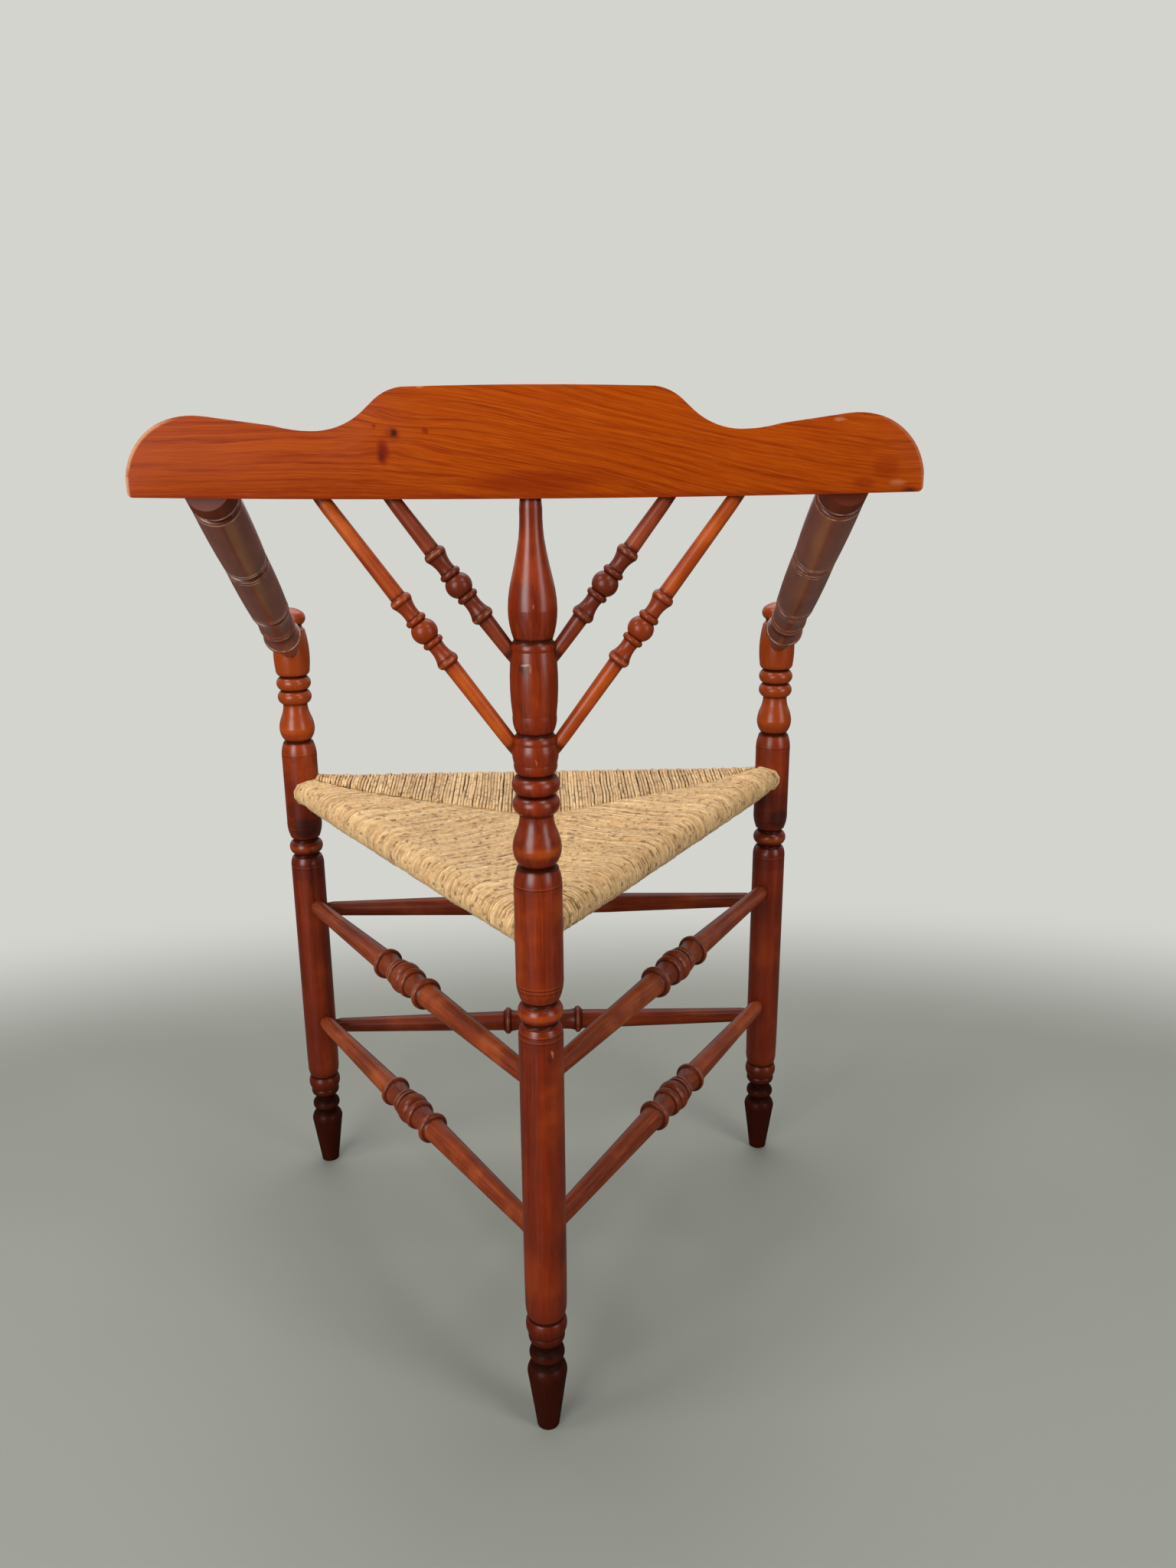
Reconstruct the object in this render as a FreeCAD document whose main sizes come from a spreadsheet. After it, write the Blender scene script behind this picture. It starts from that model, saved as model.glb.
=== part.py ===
# Three-legged corner chair: turned posts, arms, rungs and spindles, a shaped crest board and a rush seat.
# Sizes are millimetres. +Z is up and the sitter faces -Y, so the single rear post stands at +Y.
# The origin is on the floor, midway between the line of the front posts and the rear post.
import FreeCAD, Part
import math
import os
import Sketcher
from FreeCAD import Vector

SIZES = {
    # Plan of the three posts
    "post_spread": 480,
    "post_depth": 377,
    # Foot of a post: a taper that ends in a round shoulder
    "foot_radius": 9,
    "foot_top_radius": 16,
    "foot_height": 52,
    "foot_shoulder_height": 10,
    # Ankle: a small bead, a step and a collar
    "neck_radius": 9.8,
    "neck_height": 1.5,
    "ankle_bead_height": 12.5,
    "ankle_bead_radius": 14.1,
    "ankle_step_height": 12,
    "ankle_step_radius": 13.7,
    "collar_height": 13.5,
    "collar_radius": 16.3,
    # Plain leg between the ankle and the knee ring
    "ankle_groove_height": 4.5,
    "ankle_groove_sink": 0.9,
    "leg_height": 250,
    "leg_radius": 16.5,
    "leg_end_radius": 14.5,
    "leg_end_height": 11,
    # Rings and grooves above the leg
    "groove_radius": 12.2,
    "groove_height": 1.4,
    "knee_groove_height": 5.2,
    "ring_radius": 16.6,
    "knee_ring_height": 11,
    "twin_ring_height": 13.9,
    # Part of the post that takes the seat rails
    "seat_block_height": 99.4,
    "seat_block_radius": 17.2,
    "seat_block_end_height": 18,
    # Pear-shaped vase above the seat block
    "vase_belly_height": 13.8,
    "vase_radius": 17.2,
    "vase_waist_height": 11.9,
    "vase_waist_radius": 14.1,
    "vase_neck_height": 11.9,
    "vase_neck_radius": 11.8,
    # Top of a front post: a barrel for the arm and a flat knob
    "arm_barrel_height": 45.7,
    "arm_barrel_radius": 17.2,
    "arm_barrel_end_radius": 14.3,
    "barrel_round_height": 6,
    "knob_neck_height": 4.5,
    "knob_height": 16.5,
    "knob_radius": 15.8,
    # Top of the rear post: two barrels for the spindles, a long bulb and a slim neck
    "spindle_barrel_radius": 16.1,
    "spindle_barrel_end_radius": 14.8,
    "spindle_barrel_round": 7,
    "lower_barrel_height": 28.7,
    "lower_barrel_foot": 8,
    "upper_barrel_height": 63,
    "upper_barrel_foot": 13,
    "bulb_foot_radius": 12.8,
    "bulb_belly_height": 20,
    "bulb_radius": 16.2,
    "bulb_waist_height": 20,
    "bulb_waist_radius": 13.5,
    "bulb_taper_height": 26,
    "bulb_taper_radius": 8.2,
    "top_neck_height": 24.2,
    "top_neck_radius": 7.4,
    "top_tenon_radius": 5.4,
    "top_tenon_length": 20,
    # Crest board
    "crest_length": 507.6,
    "crest_height": 68,
    "crest_thickness": 18,
    "crest_sagitta": 14,
    "crest_end_height": 13.5,
    "crest_corner": 3.6,
    "crest_bottom_rise": 2,
    "hump_height": 51,
    "hump_inset": 45,
    "valley_height": 41.4,
    "valley_offset": 135,
    "tablet_half": 78,
    "tablet_slope": 27,
    "tablet_crown": 1,
    # Joints: every tenon tapers and stops short of its socket's floor and wall by the gap
    "joint_gap": 0.1,
    "tenon_margin": 6,
    # Rungs
    "rung_radius": 10.2,
    "rung_end_radius": 7.4,
    "rung_tip_radius": 4.6,
    "rung_tenon_depth": 9,
    "rung_stagger": 6,
    "upper_rung_drop": 49,
    "lower_rung_rise": 69,
    "upper_front_rung_drop": 11,
    "lower_front_rung_drop": 14,
    "rung_fillet_height": 2,
    "rung_fillet_radius": 11.7,
    "rung_flange_height": 6.5,
    "rung_flange_radius": 14.2,
    "rung_cove_height": 16.25,
    "rung_cove_sink": 1.1,
    "rung_neck_radius": 11,
    "rung_ring_height": 5,
    "rung_ring_radius": 12.2,
    "rung_ring_step": 0.6,
    "rung_ball_height": 15,
    "rung_ball_radius": 14.5,
    "rung_bead_height": 9.5,
    "rung_bead_radius": 13.7,
    # Back spindles
    "spindle_radius": 5.4,
    "spindle_end_radius": 4.9,
    "spindle_tip_radius": 4.3,
    "spindle_tenon_depth": 9,
    "spindle_drop": 8.5,
    "inner_spindle_offset": 87.6,
    "outer_spindle_offset": 132,
    "inner_spindle_middle": 67.7,
    "outer_spindle_middle": 104,
    "spindle_ball_height": 13.5,
    "spindle_ball_radius": 8.8,
    "spindle_ring_height": 4.5,
    "spindle_ring_radius": 7.3,
    "spindle_cove_height": 11,
    "spindle_cove_radius": 5.5,
    "spindle_flange_height": 5.5,
    "spindle_flange_radius": 8.2,
    # Arms
    "arm_radius": 16.5,
    "arm_inset": 45.8,
    "arm_rise_on_crest": 11,
    "arm_rise_on_barrel": 21.7,
    "arm_groove_radius": 12.8,
    "arm_groove_height": 7,
    "arm_end_section": 25,
    "arm_upper_section": 106.5,
    "arm_lower_section": 107.5,
    "arm_band_height": 33.5,
    "arm_band_radius": 14.6,
    "arm_fillet_height": 4,
    "arm_fillet_radius": 15.4,
    "arm_ring_height": 12,
    "arm_ring_radius": 15.9,
    "arm_neck_radius": 12.8,
    "arm_cup_height": 25,
    "arm_cup_radius": 16.4,
    "arm_rim_height": 10,
    "arm_rim_radius": 17,
    "arm_tenon_depth": 9,
    "arm_tenon_radius": 10,
    "arm_tip_radius": 7,
    "arm_peg_radius": 6,
    "arm_peg_length": 11,
    # Seat
    "seat_rise": 51,
    "rail_radius": 9,
    "rail_end_radius": 5.2,
    "rail_tip_radius": 4.2,
    "rail_tenon_depth": 8,
    "rail_stagger": 6,
    "rush_thickness": 5,
    "roll_end_height": 9,
    "roll_end_radius": 13,
    "web_share": 0.93,
    "seat_thickness": 20,
    "soft_gap": 0.3,
}

doc = FreeCAD.newDocument("corner_chair")
sheet = doc.addObject("Spreadsheet::Sheet", "Sheet")
for row, (alias, number) in enumerate(SIZES.items(), 1):
    sheet.set(f"A{row}", str(number))
    sheet.setAlias(f"A{row}", alias)
doc.recompute()


class Size:
    """A length with its value now and the expression that gives it from the sheet."""

    def __init__(self, value, text):
        self.value = value
        self.text = text

    def __add__(self, other):
        other = as_size(other)
        return Size(self.value + other.value, f"({self.text} + {other.text})")

    def __sub__(self, other):
        other = as_size(other)
        return Size(self.value - other.value, f"({self.text} - {other.text})")

    def __mul__(self, other):
        other = as_size(other)
        return Size(self.value * other.value, f"({self.text} * {other.text})")

    def __truediv__(self, other):
        other = as_size(other)
        return Size(self.value / other.value, f"({self.text} / {other.text})")

    def __neg__(self):
        return self * -1

    __radd__ = __add__
    __rmul__ = __mul__

    def __rsub__(self, other):
        return as_size(other) - self


def as_size(value):
    """A Size as it is, or a plain number made one."""
    return value if isinstance(value, Size) else Size(float(value), f"({float(value)})")


def root(size):
    return Size(math.sqrt(size.value), f"sqrt({size.text})")


def largest(first, second):
    return Size(max(first.value, second.value), f"max({first.text}; {second.text})")


def length_of(vector):
    return root(vector[0] * vector[0] + vector[1] * vector[1] + vector[2] * vector[2])


def along(start, vector, distance):
    """The point at a distance from start in the direction of a vector."""
    share = distance / length_of(vector)
    return [start[axis] + vector[axis] * share for axis in range(3)]


def between(start, end):
    return [end[axis] - start[axis] for axis in range(3)]


class Sizes:
    """Gives each size of the sheet by its alias."""

    def __getattr__(self, alias):
        return Size(float(sheet.get(alias)), f"Sheet.{alias}")


s = Sizes()


# Profiles

class Outline:
    """A closed outline of straight and round stretches, each corner bound to the sheet."""

    def __init__(self, x, y):
        self.corners = [(as_size(x), as_size(y))]
        self.rises = [None]
        self.bulges = []

    def to(self, x, y, bulge=None, rise=None):
        """A stretch to a corner. A bulge to the right of the way is positive, and a straight one has none.

        A rise ties the corner's height to the one before it, in place of the outline's origin."""
        self.corners.append((as_size(x), as_size(y)))
        self.rises.append(rise)
        self.bulges.append(bulge)
        return self

    def draw(self, sketch):
        corners = self.corners
        bulges = self.bulges + [None]
        points = [Vector(x.value, y.value, 0) for x, y in corners]
        ends = []
        constraints = []
        expressions = []
        for index, start in enumerate(points):
            end = points[(index + 1) % len(points)]
            if bulges[index] is None:
                line = sketch.addGeometry(Part.LineSegment(start, end))
                ends.append((line, 1, 2))
                continue
            chord = end - start
            right = Vector(chord.y, -chord.x, 0).normalize()
            middle = (start + end) * 0.5 + right * bulges[index].value
            arc = sketch.addGeometry(Part.Arc(start, middle, end))
            forward = (sketch.getPoint(arc, 1) - start).Length < (sketch.getPoint(arc, 2) - start).Length
            ends.append((arc, 1, 2) if forward else (arc, 2, 1))
            depth = as_size(bulges[index])
            wide = corners[(index + 1) % len(corners)][0] - corners[index][0]
            high = corners[(index + 1) % len(corners)][1] - corners[index][1]
            radius = (wide * wide + high * high) / (depth * 8) + depth / 2
            sign = 1 if radius.value > 0 else -1
            expressions.append((len(constraints), (radius * sign).text))
            constraints.append(Sketcher.Constraint("Radius", arc, abs(radius.value)))
        for index, (x, y) in enumerate(corners):
            line, first, last = ends[index]
            before, before_first, before_last = ends[index - 1]
            constraints.append(Sketcher.Constraint("Coincident", before, before_last, line, first))
            rise = self.rises[index]
            base = (-1, 1) if rise is None else (before, before_first)
            for kind, size, axis, origin in (("DistanceX", x, -2, (-1, 1)), ("DistanceY", rise or y, -1, base)):
                if size.value != 0:
                    expressions.append((len(constraints), size.text))
                    constraints.append(Sketcher.Constraint(kind, *origin, line, first, size.value))
                elif size is rise:
                    constraints.append(Sketcher.Constraint("Horizontal", before))
                else:
                    constraints.append(Sketcher.Constraint("PointOnObject", line, first, axis))
        sketch.addConstraint(constraints)
        for index, text in expressions:
            sketch.setExpression(f"Constraints[{index}]", text)


class Turning(Outline):
    """Half of a turned piece, cut along its middle, drawn from its lower end up."""

    def __init__(self, radius):
        super().__init__(0, 0)
        self.level = as_size(0)
        self.to(radius, 0)

    def up(self, height, radius, bulge=None):
        """A stretch that climbs by a height to a radius, swollen or hollowed by a bulge."""
        self.level = self.level + height
        return self.to(radius, self.level, bulge, as_size(height))

    def close(self):
        return self.to(0, self.level, rise=as_size(0))


def new_sketch(body, plane, outline):
    sketch = body.newObject("Sketcher::SketchObject", body.Name + "_outline")
    origin = [item for item in body.Origin.OriginFeatures if item.Role == plane][0]
    sketch.AttachmentSupport = [(origin, "")]
    sketch.MapMode = "FlatFace"
    outline.draw(sketch)
    return sketch


def turned(name, turning):
    """A body turned round its own Z axis."""
    body = doc.addObject("PartDesign::Body", name)
    sketch = new_sketch(body, "XZ_Plane", turning.close())
    lathe = body.newObject("PartDesign::Revolution", name + "_turning")
    lathe.Profile = (sketch, [""])
    lathe.ReferenceAxis = (sketch, ["V_Axis"])
    lathe.Angle = 360
    return body


def plate(name, plane, outline, thickness):
    """A body padded evenly to both sides of a plane."""
    body = doc.addObject("PartDesign::Body", name)
    sketch = new_sketch(body, plane, outline)
    pad = body.newObject("PartDesign::Pad", name + "_pad")
    pad.Profile = (sketch, [""])
    pad.Midplane = True
    pad.setExpression("Length", thickness.text)
    return body


def stand(piece, point):
    """Put a piece upright on a point."""
    for axis, size in zip("xyz", point):
        piece.setExpression(f"Placement.Base.{axis}", as_size(size).text)
    return piece


def aim(piece, point, way):
    """Put a piece on a point with its Z axis along a way that isn't upright."""
    x, y, z = (as_size(size) for size in way)
    base = "; ".join(as_size(size).text for size in point)
    tilt = f"acos({(z / length_of((x, y, z))).text})"
    turn = f"rotation(vector({(-y).text}; {x.text}; 0); {tilt})"
    piece.setExpression("Placement", f"placement(vector({base}); {turn})")
    return piece


def cone(name, lower_radius, upper_radius, height):
    piece = doc.addObject("Part::Cone", name)
    piece.setExpression("Radius1", lower_radius.text)
    piece.setExpression("Radius2", upper_radius.text)
    piece.setExpression("Height", height.text)
    return piece


def cylinder(name, radius, height):
    piece = doc.addObject("Part::Cylinder", name)
    piece.setExpression("Radius", radius.text)
    piece.setExpression("Height", height.text)
    return piece


def socket(name, mouth, way, mouth_radius, tip_radius, depth):
    """A cutter for a tapered tenon, from its mouth along a way that points into the wood."""
    cutter = cone(name, mouth_radius + s.joint_gap, tip_radius + s.joint_gap, depth + s.joint_gap)
    return cutter if way is None else aim(cutter, mouth, way)


def without(name, base, cutters):
    """A base with cutters taken away."""
    tool = cutters[0]
    if len(cutters) > 1:
        tool = doc.addObject("Part::MultiFuse", name + "_cutters")
        tool.Shapes = cutters
    cut = doc.addObject("Part::Cut", name)
    cut.Base = base
    cut.Tool = tool
    return cut


nodes = {}


def keep(node, piece):
    """Name a finished piece as a node."""
    piece.Label = node
    nodes[node] = piece


# Levels and places shared by the pieces

half_spread = s.post_spread / 2
front_line = -s.post_depth / 2
rear_line = s.post_depth / 2
post_places = {
    "left": (half_spread, front_line),
    "right": (-half_spread, front_line),
    "rear": (as_size(0), rear_line),
}

ankle_level = s.foot_height + s.foot_shoulder_height + s.neck_height * 2
leg_bottom = ankle_level + s.ankle_bead_height + s.ankle_step_height + s.collar_height + s.ankle_groove_height
leg_top = leg_bottom + s.leg_height
seat_block_bottom = leg_top + s.knee_groove_height * 2 + s.knee_ring_height
seat_block_top = seat_block_bottom + s.seat_block_height
barrel_bottom = (seat_block_top + s.groove_height + s.vase_belly_height + s.vase_waist_height
                 + s.vase_neck_height + s.twin_ring_height * 2)
lower_barrel_top = barrel_bottom + s.lower_barrel_height
upper_barrel_top = lower_barrel_top + s.upper_barrel_height
crest_level = upper_barrel_top + s.bulb_belly_height + s.bulb_waist_height + s.bulb_taper_height + s.top_neck_height

seat_level = seat_block_bottom + s.seat_rise
arm_level = barrel_bottom + s.arm_rise_on_barrel
upper_rung_level = leg_top - s.upper_rung_drop
lower_rung_level = leg_bottom + s.lower_rung_rise

crest_bend = (s.crest_length * s.crest_length / 4 + s.crest_sagitta * s.crest_sagitta) / (s.crest_sagitta * 2)
bend_centre = rear_line - crest_bend
crest_face_bend = crest_bend - s.crest_thickness / 2


def crest_middle(offset):
    """How far back the middle of the crest's thickness lies at an offset from its centre."""
    return bend_centre + root(crest_bend * crest_bend - offset * offset)


# Posts

def post_turning():
    """The turning that all three posts share, from the floor to the ring under the barrels."""
    leg_foot = s.leg_end_radius + s.neck_height / 3
    t = Turning(s.foot_radius)
    t.up(s.foot_height, s.foot_top_radius)
    t.up(s.foot_shoulder_height, s.neck_radius, s.neck_height)
    t.up(s.neck_height, s.neck_radius)
    t.up(s.ankle_bead_height, s.neck_radius, s.ankle_bead_radius - s.neck_radius)
    t.up(s.neck_height, s.neck_radius)
    t.up(s.ankle_step_height / 2, s.ankle_step_radius, s.ankle_step_height / -10)
    t.up(s.ankle_step_height / 2, s.ankle_step_radius, s.ankle_step_height / 15)
    t.up(s.neck_height, s.leg_end_radius)
    t.up(s.collar_height - s.neck_height, leg_foot, s.collar_radius - (s.leg_end_radius + leg_foot) / 2)
    t.up(s.ankle_groove_height, leg_foot, -s.ankle_groove_sink)
    t.up(s.leg_end_height, s.leg_radius - s.neck_height / 6, s.neck_height * 0.3)
    t.up(s.leg_end_height * 2, s.leg_radius)
    t.up(s.leg_height - s.leg_end_height * 4, s.leg_radius)
    t.up(s.leg_end_height, s.leg_end_radius, s.neck_height / 2)
    t.up(s.knee_groove_height, s.leg_end_radius, s.groove_radius - s.leg_end_radius)
    t.up(s.knee_ring_height, s.leg_end_radius, s.ring_radius - s.leg_end_radius)
    t.up(s.knee_groove_height, s.leg_end_radius, s.groove_radius - s.leg_end_radius)
    t.up(s.seat_block_end_height, s.seat_block_radius, s.neck_height * 0.7)
    t.up(s.seat_block_height - s.seat_block_end_height * 2, s.seat_block_radius)
    t.up(s.seat_block_end_height, s.leg_end_radius, s.neck_height * 0.7)
    t.up(s.groove_height, s.groove_radius)
    t.up(s.vase_belly_height, s.vase_radius, s.neck_height * 0.95)
    t.up(s.vase_waist_height, s.vase_waist_radius, s.neck_height * 0.35)
    t.up(s.vase_neck_height, s.vase_neck_radius, s.neck_height * -0.45)
    ring = s.ring_radius - s.groove_radius
    t.up(s.twin_ring_height, s.groove_radius, ring)
    t.up(s.twin_ring_height, s.groove_radius, ring)
    return t


def front_post_turning():
    """Above the rings stands the barrel that takes the arm, under a flat knob."""
    t = post_turning()
    shoulder_radius = s.arm_barrel_radius - s.neck_height / 2
    belly = s.arm_barrel_radius - (shoulder_radius + s.arm_barrel_end_radius) / 2
    t.up(s.barrel_round_height, shoulder_radius, s.neck_height * 0.8)
    t.up(s.arm_barrel_height - s.barrel_round_height, s.arm_barrel_end_radius, belly)
    t.up(s.knob_neck_height, s.vase_neck_radius, s.neck_height / -2)
    t.up(s.knob_height * 0.8, s.vase_neck_radius, s.knob_radius - s.vase_neck_radius)
    t.up(s.knob_height * 0.2, s.joint_gap, s.knob_height * 0.06)
    return t


def rear_post_turning():
    """Above the rings stand two barrels for the spindles, a bulb, a slim neck and the crest's tenon."""
    t = post_turning()
    belly = s.spindle_barrel_radius - s.spindle_barrel_end_radius
    for height, foot, swell, top_radius in (
            (s.lower_barrel_height, s.lower_barrel_foot, belly * 0.75, s.groove_radius),
            (s.upper_barrel_height, s.upper_barrel_foot, belly, s.bulb_foot_radius)):
        t.up(foot, s.spindle_barrel_end_radius, s.neck_height * 0.7)
        t.up(height - foot - s.spindle_barrel_round, s.spindle_barrel_end_radius, swell)
        t.up(s.spindle_barrel_round, top_radius, s.neck_height * 0.7)
    t.up(s.bulb_belly_height, s.bulb_radius, s.neck_height * 0.6)
    t.up(s.bulb_waist_height, s.bulb_waist_radius, s.neck_height * 0.4)
    t.up(s.bulb_taper_height, s.bulb_taper_radius, s.neck_height * -0.2)
    t.up(s.top_neck_height - s.tenon_margin, s.top_neck_radius, s.neck_height * -0.2)
    t.up(s.tenon_margin + s.top_tenon_length, s.top_tenon_radius)
    return t


# Rungs, spindles and rails

def rung_steps():
    """A rung's turning, from the front post's side: flange, cove, two rings, ball, bead, cove and flange."""
    neck = s.rung_neck_radius
    lip = s.rung_fillet_radius
    return [
        (s.rung_fillet_height, lip, None),
        (s.rung_flange_height, lip, s.rung_flange_radius - lip),
        (s.rung_cove_height, neck, -s.rung_cove_sink),
        (s.rung_ring_height, neck, s.rung_ring_radius - neck),
        (s.rung_ring_height, neck, s.rung_ring_radius + s.rung_ring_step - neck),
        (s.rung_ball_height, neck, s.rung_ball_radius - neck),
        (s.rung_bead_height, neck, s.rung_bead_radius - neck),
        (s.rung_cove_height + s.rung_fillet_height, lip, -s.rung_cove_sink),
        (s.rung_flange_height, lip, s.rung_flange_radius - lip),
        (s.rung_fillet_height, s.rung_radius, None),
    ]


def spindle_steps():
    """A spindle's turning: a ball between two rings, each followed by a long cove and a flange."""
    cove = s.spindle_cove_radius
    lip = (s.spindle_flange_radius + cove) / 2
    sink = (cove - lip) * 0.6
    return [
        (s.spindle_flange_height, lip, s.spindle_flange_radius - lip),
        (s.spindle_cove_height, cove, sink),
        (s.spindle_ring_height, cove, s.spindle_ring_radius - cove),
        (s.spindle_ball_height, cove, s.spindle_ball_radius - cove),
        (s.spindle_ring_height, cove, s.spindle_ring_radius - cove),
        (s.spindle_cove_height, lip, sink),
        (s.spindle_flange_height, s.spindle_radius, s.spindle_flange_radius - lip),
    ]


def stick(name, start, end, depths, radii, steps=None, middle=None):
    """A turned stick whose visible part runs from start to end, with a tapered tenon at each end.

    depths are the two tenons' lengths, and radii those of the tip, of the end of the taper and of the middle.
    steps are those of its turning, centred at a distance from start, or halfway where none is given."""
    tip, end_radius, radius = radii
    way = between(start, end)
    visible = length_of(way)
    t = Turning(tip)
    t.up(depths[0] + s.tenon_margin, end_radius)
    if steps is None:
        third = (visible - s.tenon_margin * 2) / 3
        t.up(third, radius)
        t.up(third, radius)
        t.up(third, end_radius)
    else:
        reach = sum(height for height, _, _ in steps) / 2
        middle = visible / 2 if middle is None else middle
        t.up(middle - reach - s.tenon_margin, radius)
        for step in steps:
            t.up(*step)
        t.up(visible - middle - reach - s.tenon_margin, end_radius)
    t.up(depths[1] + s.tenon_margin, tip)
    return aim(turned(name, t), along(start, way, -depths[0]), way)


def stick_sockets(name, start, end, depths, radii):
    """The two cutters for a stick's tenons: the first at its start, the second at its end."""
    tip, end_radius, _ = radii
    way = between(start, end)
    back = [-size for size in way]
    return [
        socket(name + "_start", along(start, way, s.tenon_margin), back, end_radius, tip, depths[0] + s.tenon_margin),
        socket(name + "_end", along(end, back, s.tenon_margin), way, end_radius, tip, depths[1] + s.tenon_margin),
    ]


post_sockets = {"left": [], "right": [], "rear": []}
crest_sockets = []
rung_radii = (s.rung_tip_radius, s.rung_end_radius, s.rung_radius)
rail_radii = (s.rail_tip_radius, s.rail_end_radius, s.rail_radius)
spindle_radii = (s.spindle_tip_radius, s.spindle_end_radius, s.spindle_radius)


def tie(node, first, second, level, post_radius, depth, radii, steps=None):
    """A level stick from one post to another."""
    ends = [[*post_places[post], level] for post in (first, second)]
    way = between(*ends)
    start = along(ends[0], way, post_radius)
    end = along(ends[1], [-size for size in way], post_radius)
    keep(node, stick(node, start, end, (depth, depth), radii, steps))
    cutters = stick_sockets(node + "_socket", start, end, (depth, depth), radii)
    post_sockets[first].append(cutters[0])
    post_sockets[second].append(cutters[1])


stagger = {"left": -1, "right": 1}
for side, sign in stagger.items():
    for place, level in (("upper", upper_rung_level), ("lower", lower_rung_level)):
        tie(f"side_rung_{place}_{side}", side, "rear", level + s.rung_stagger / 2 * sign,
            s.leg_radius, s.rung_tenon_depth, rung_radii, rung_steps())
    tie(f"seat_rail_{side}", side, "rear", seat_level + s.rail_stagger / 2 * sign,
        s.seat_block_radius, s.rail_tenon_depth, rail_radii)
tie("front_rung_upper", "left", "right", upper_rung_level - s.upper_front_rung_drop,
    s.leg_radius, s.rung_tenon_depth, rung_radii)
tie("front_rung_lower", "left", "right", lower_rung_level - s.lower_front_rung_drop,
    s.leg_radius, s.rung_tenon_depth, rung_radii, rung_steps())
tie("seat_rail_front", "left", "right", seat_level,
    s.seat_block_radius, s.rail_tenon_depth, rail_radii)

for side, sign in {"left": 1, "right": -1}.items():
    for place, offset, middle, barrel_top in (
            ("inner", s.inner_spindle_offset, s.inner_spindle_middle, upper_barrel_top),
            ("outer", s.outer_spindle_offset, s.outer_spindle_middle, lower_barrel_top)):
        node = f"back_spindle_{place}_{side}"
        start = [offset * sign, crest_middle(offset), crest_level]
        end = [s.spindle_barrel_end_radius * sign, rear_line, barrel_top - s.spindle_drop]
        depths = (s.spindle_tenon_depth, s.spindle_tenon_depth)
        keep(node, stick(node, start, end, depths, spindle_radii, spindle_steps(), middle))
        top, bottom = stick_sockets(node + "_socket", start, end, depths, spindle_radii)
        crest_sockets.append(top)
        post_sockets["rear"].append(bottom)


# Arms

def arm_turning(run):
    """One arm from the crest's front face, where its first section is scribed off, down to the barrel."""
    t = Turning(s.arm_radius)
    groove = s.arm_groove_radius - s.arm_radius
    t.up(s.arm_end_section + s.crest_thickness, s.arm_radius)
    t.up(s.arm_groove_height, s.arm_radius, groove)
    t.up(s.arm_upper_section, s.arm_radius, s.neck_height / 3)
    t.up(s.arm_groove_height, s.arm_radius, groove)
    t.up(s.arm_lower_section, s.arm_radius, s.neck_height / 3)
    t.up(s.arm_groove_height, s.arm_radius, groove)
    t.up(s.arm_band_height, s.arm_band_radius, s.neck_height / -4)
    t.up(s.arm_fillet_height, s.arm_neck_radius, s.arm_fillet_radius - (s.arm_band_radius + s.arm_neck_radius) / 2)
    t.up(s.arm_ring_height, s.arm_neck_radius, s.arm_ring_radius - s.arm_neck_radius)
    t.up(s.arm_cup_height, s.arm_cup_radius, s.neck_height / -1.8)
    t.up(s.arm_rim_height, s.arm_groove_radius, s.arm_rim_radius - (s.arm_cup_radius + s.arm_groove_radius) / 2)
    used = t.level - s.crest_thickness
    t.up(run - used - s.tenon_margin, s.arm_tenon_radius, s.neck_height * -0.7)
    t.up(s.tenon_margin + s.arm_tenon_depth, s.arm_tip_radius)
    return t


arm_offset = s.crest_length / 2 - s.arm_inset
for side, sign in {"left": 1, "right": -1}.items():
    node = f"arm_{side}"
    face = bend_centre + root(crest_face_bend * crest_face_bend - arm_offset * arm_offset)
    start = [arm_offset * sign, face, crest_level + s.arm_rise_on_crest]
    axis_end = [*post_places[side], arm_level]
    way = between(start, axis_end)
    flat = root(way[0] * way[0] + way[1] * way[1])
    to_surface = s.arm_barrel_radius * length_of(way) / flat
    run = length_of(way) - to_surface
    rough = aim(turned(node + "_turned", arm_turning(run)), along(start, way, -s.crest_thickness), way)
    room = cylinder(node + "_room", crest_face_bend - s.joint_gap, crest_level + s.crest_height * 2)
    stand(room, (as_size(0), bend_centre, as_size(0)))
    scribed = doc.addObject("Part::Common", node + "_scribed")
    scribed.Base = rough
    scribed.Tool = room
    peg_reach = s.arm_peg_length + s.arm_peg_radius
    peg = cylinder(node + "_peg", s.arm_peg_radius, peg_reach + s.arm_peg_radius * 2)
    back = [-size for size in way]
    aim(peg, along(start, way, s.arm_peg_radius * 2), back)
    whole = doc.addObject("Part::Fuse", node)
    whole.Base = scribed
    whole.Tool = peg
    keep(node, whole)
    crest_sockets.append(socket(node + "_peg_socket", along(start, way, s.arm_peg_radius * 2), back,
                                s.arm_peg_radius, s.arm_peg_radius, peg_reach + s.arm_peg_radius * 2))
    mouth = along(start, way, run - s.tenon_margin)
    post_sockets[side].append(socket(node + "_socket", mouth, way, s.arm_tenon_radius, s.arm_tip_radius,
                                     s.tenon_margin + s.arm_tenon_depth))


# Crest board: its outline in front view, bent to a shallow arc

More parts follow.
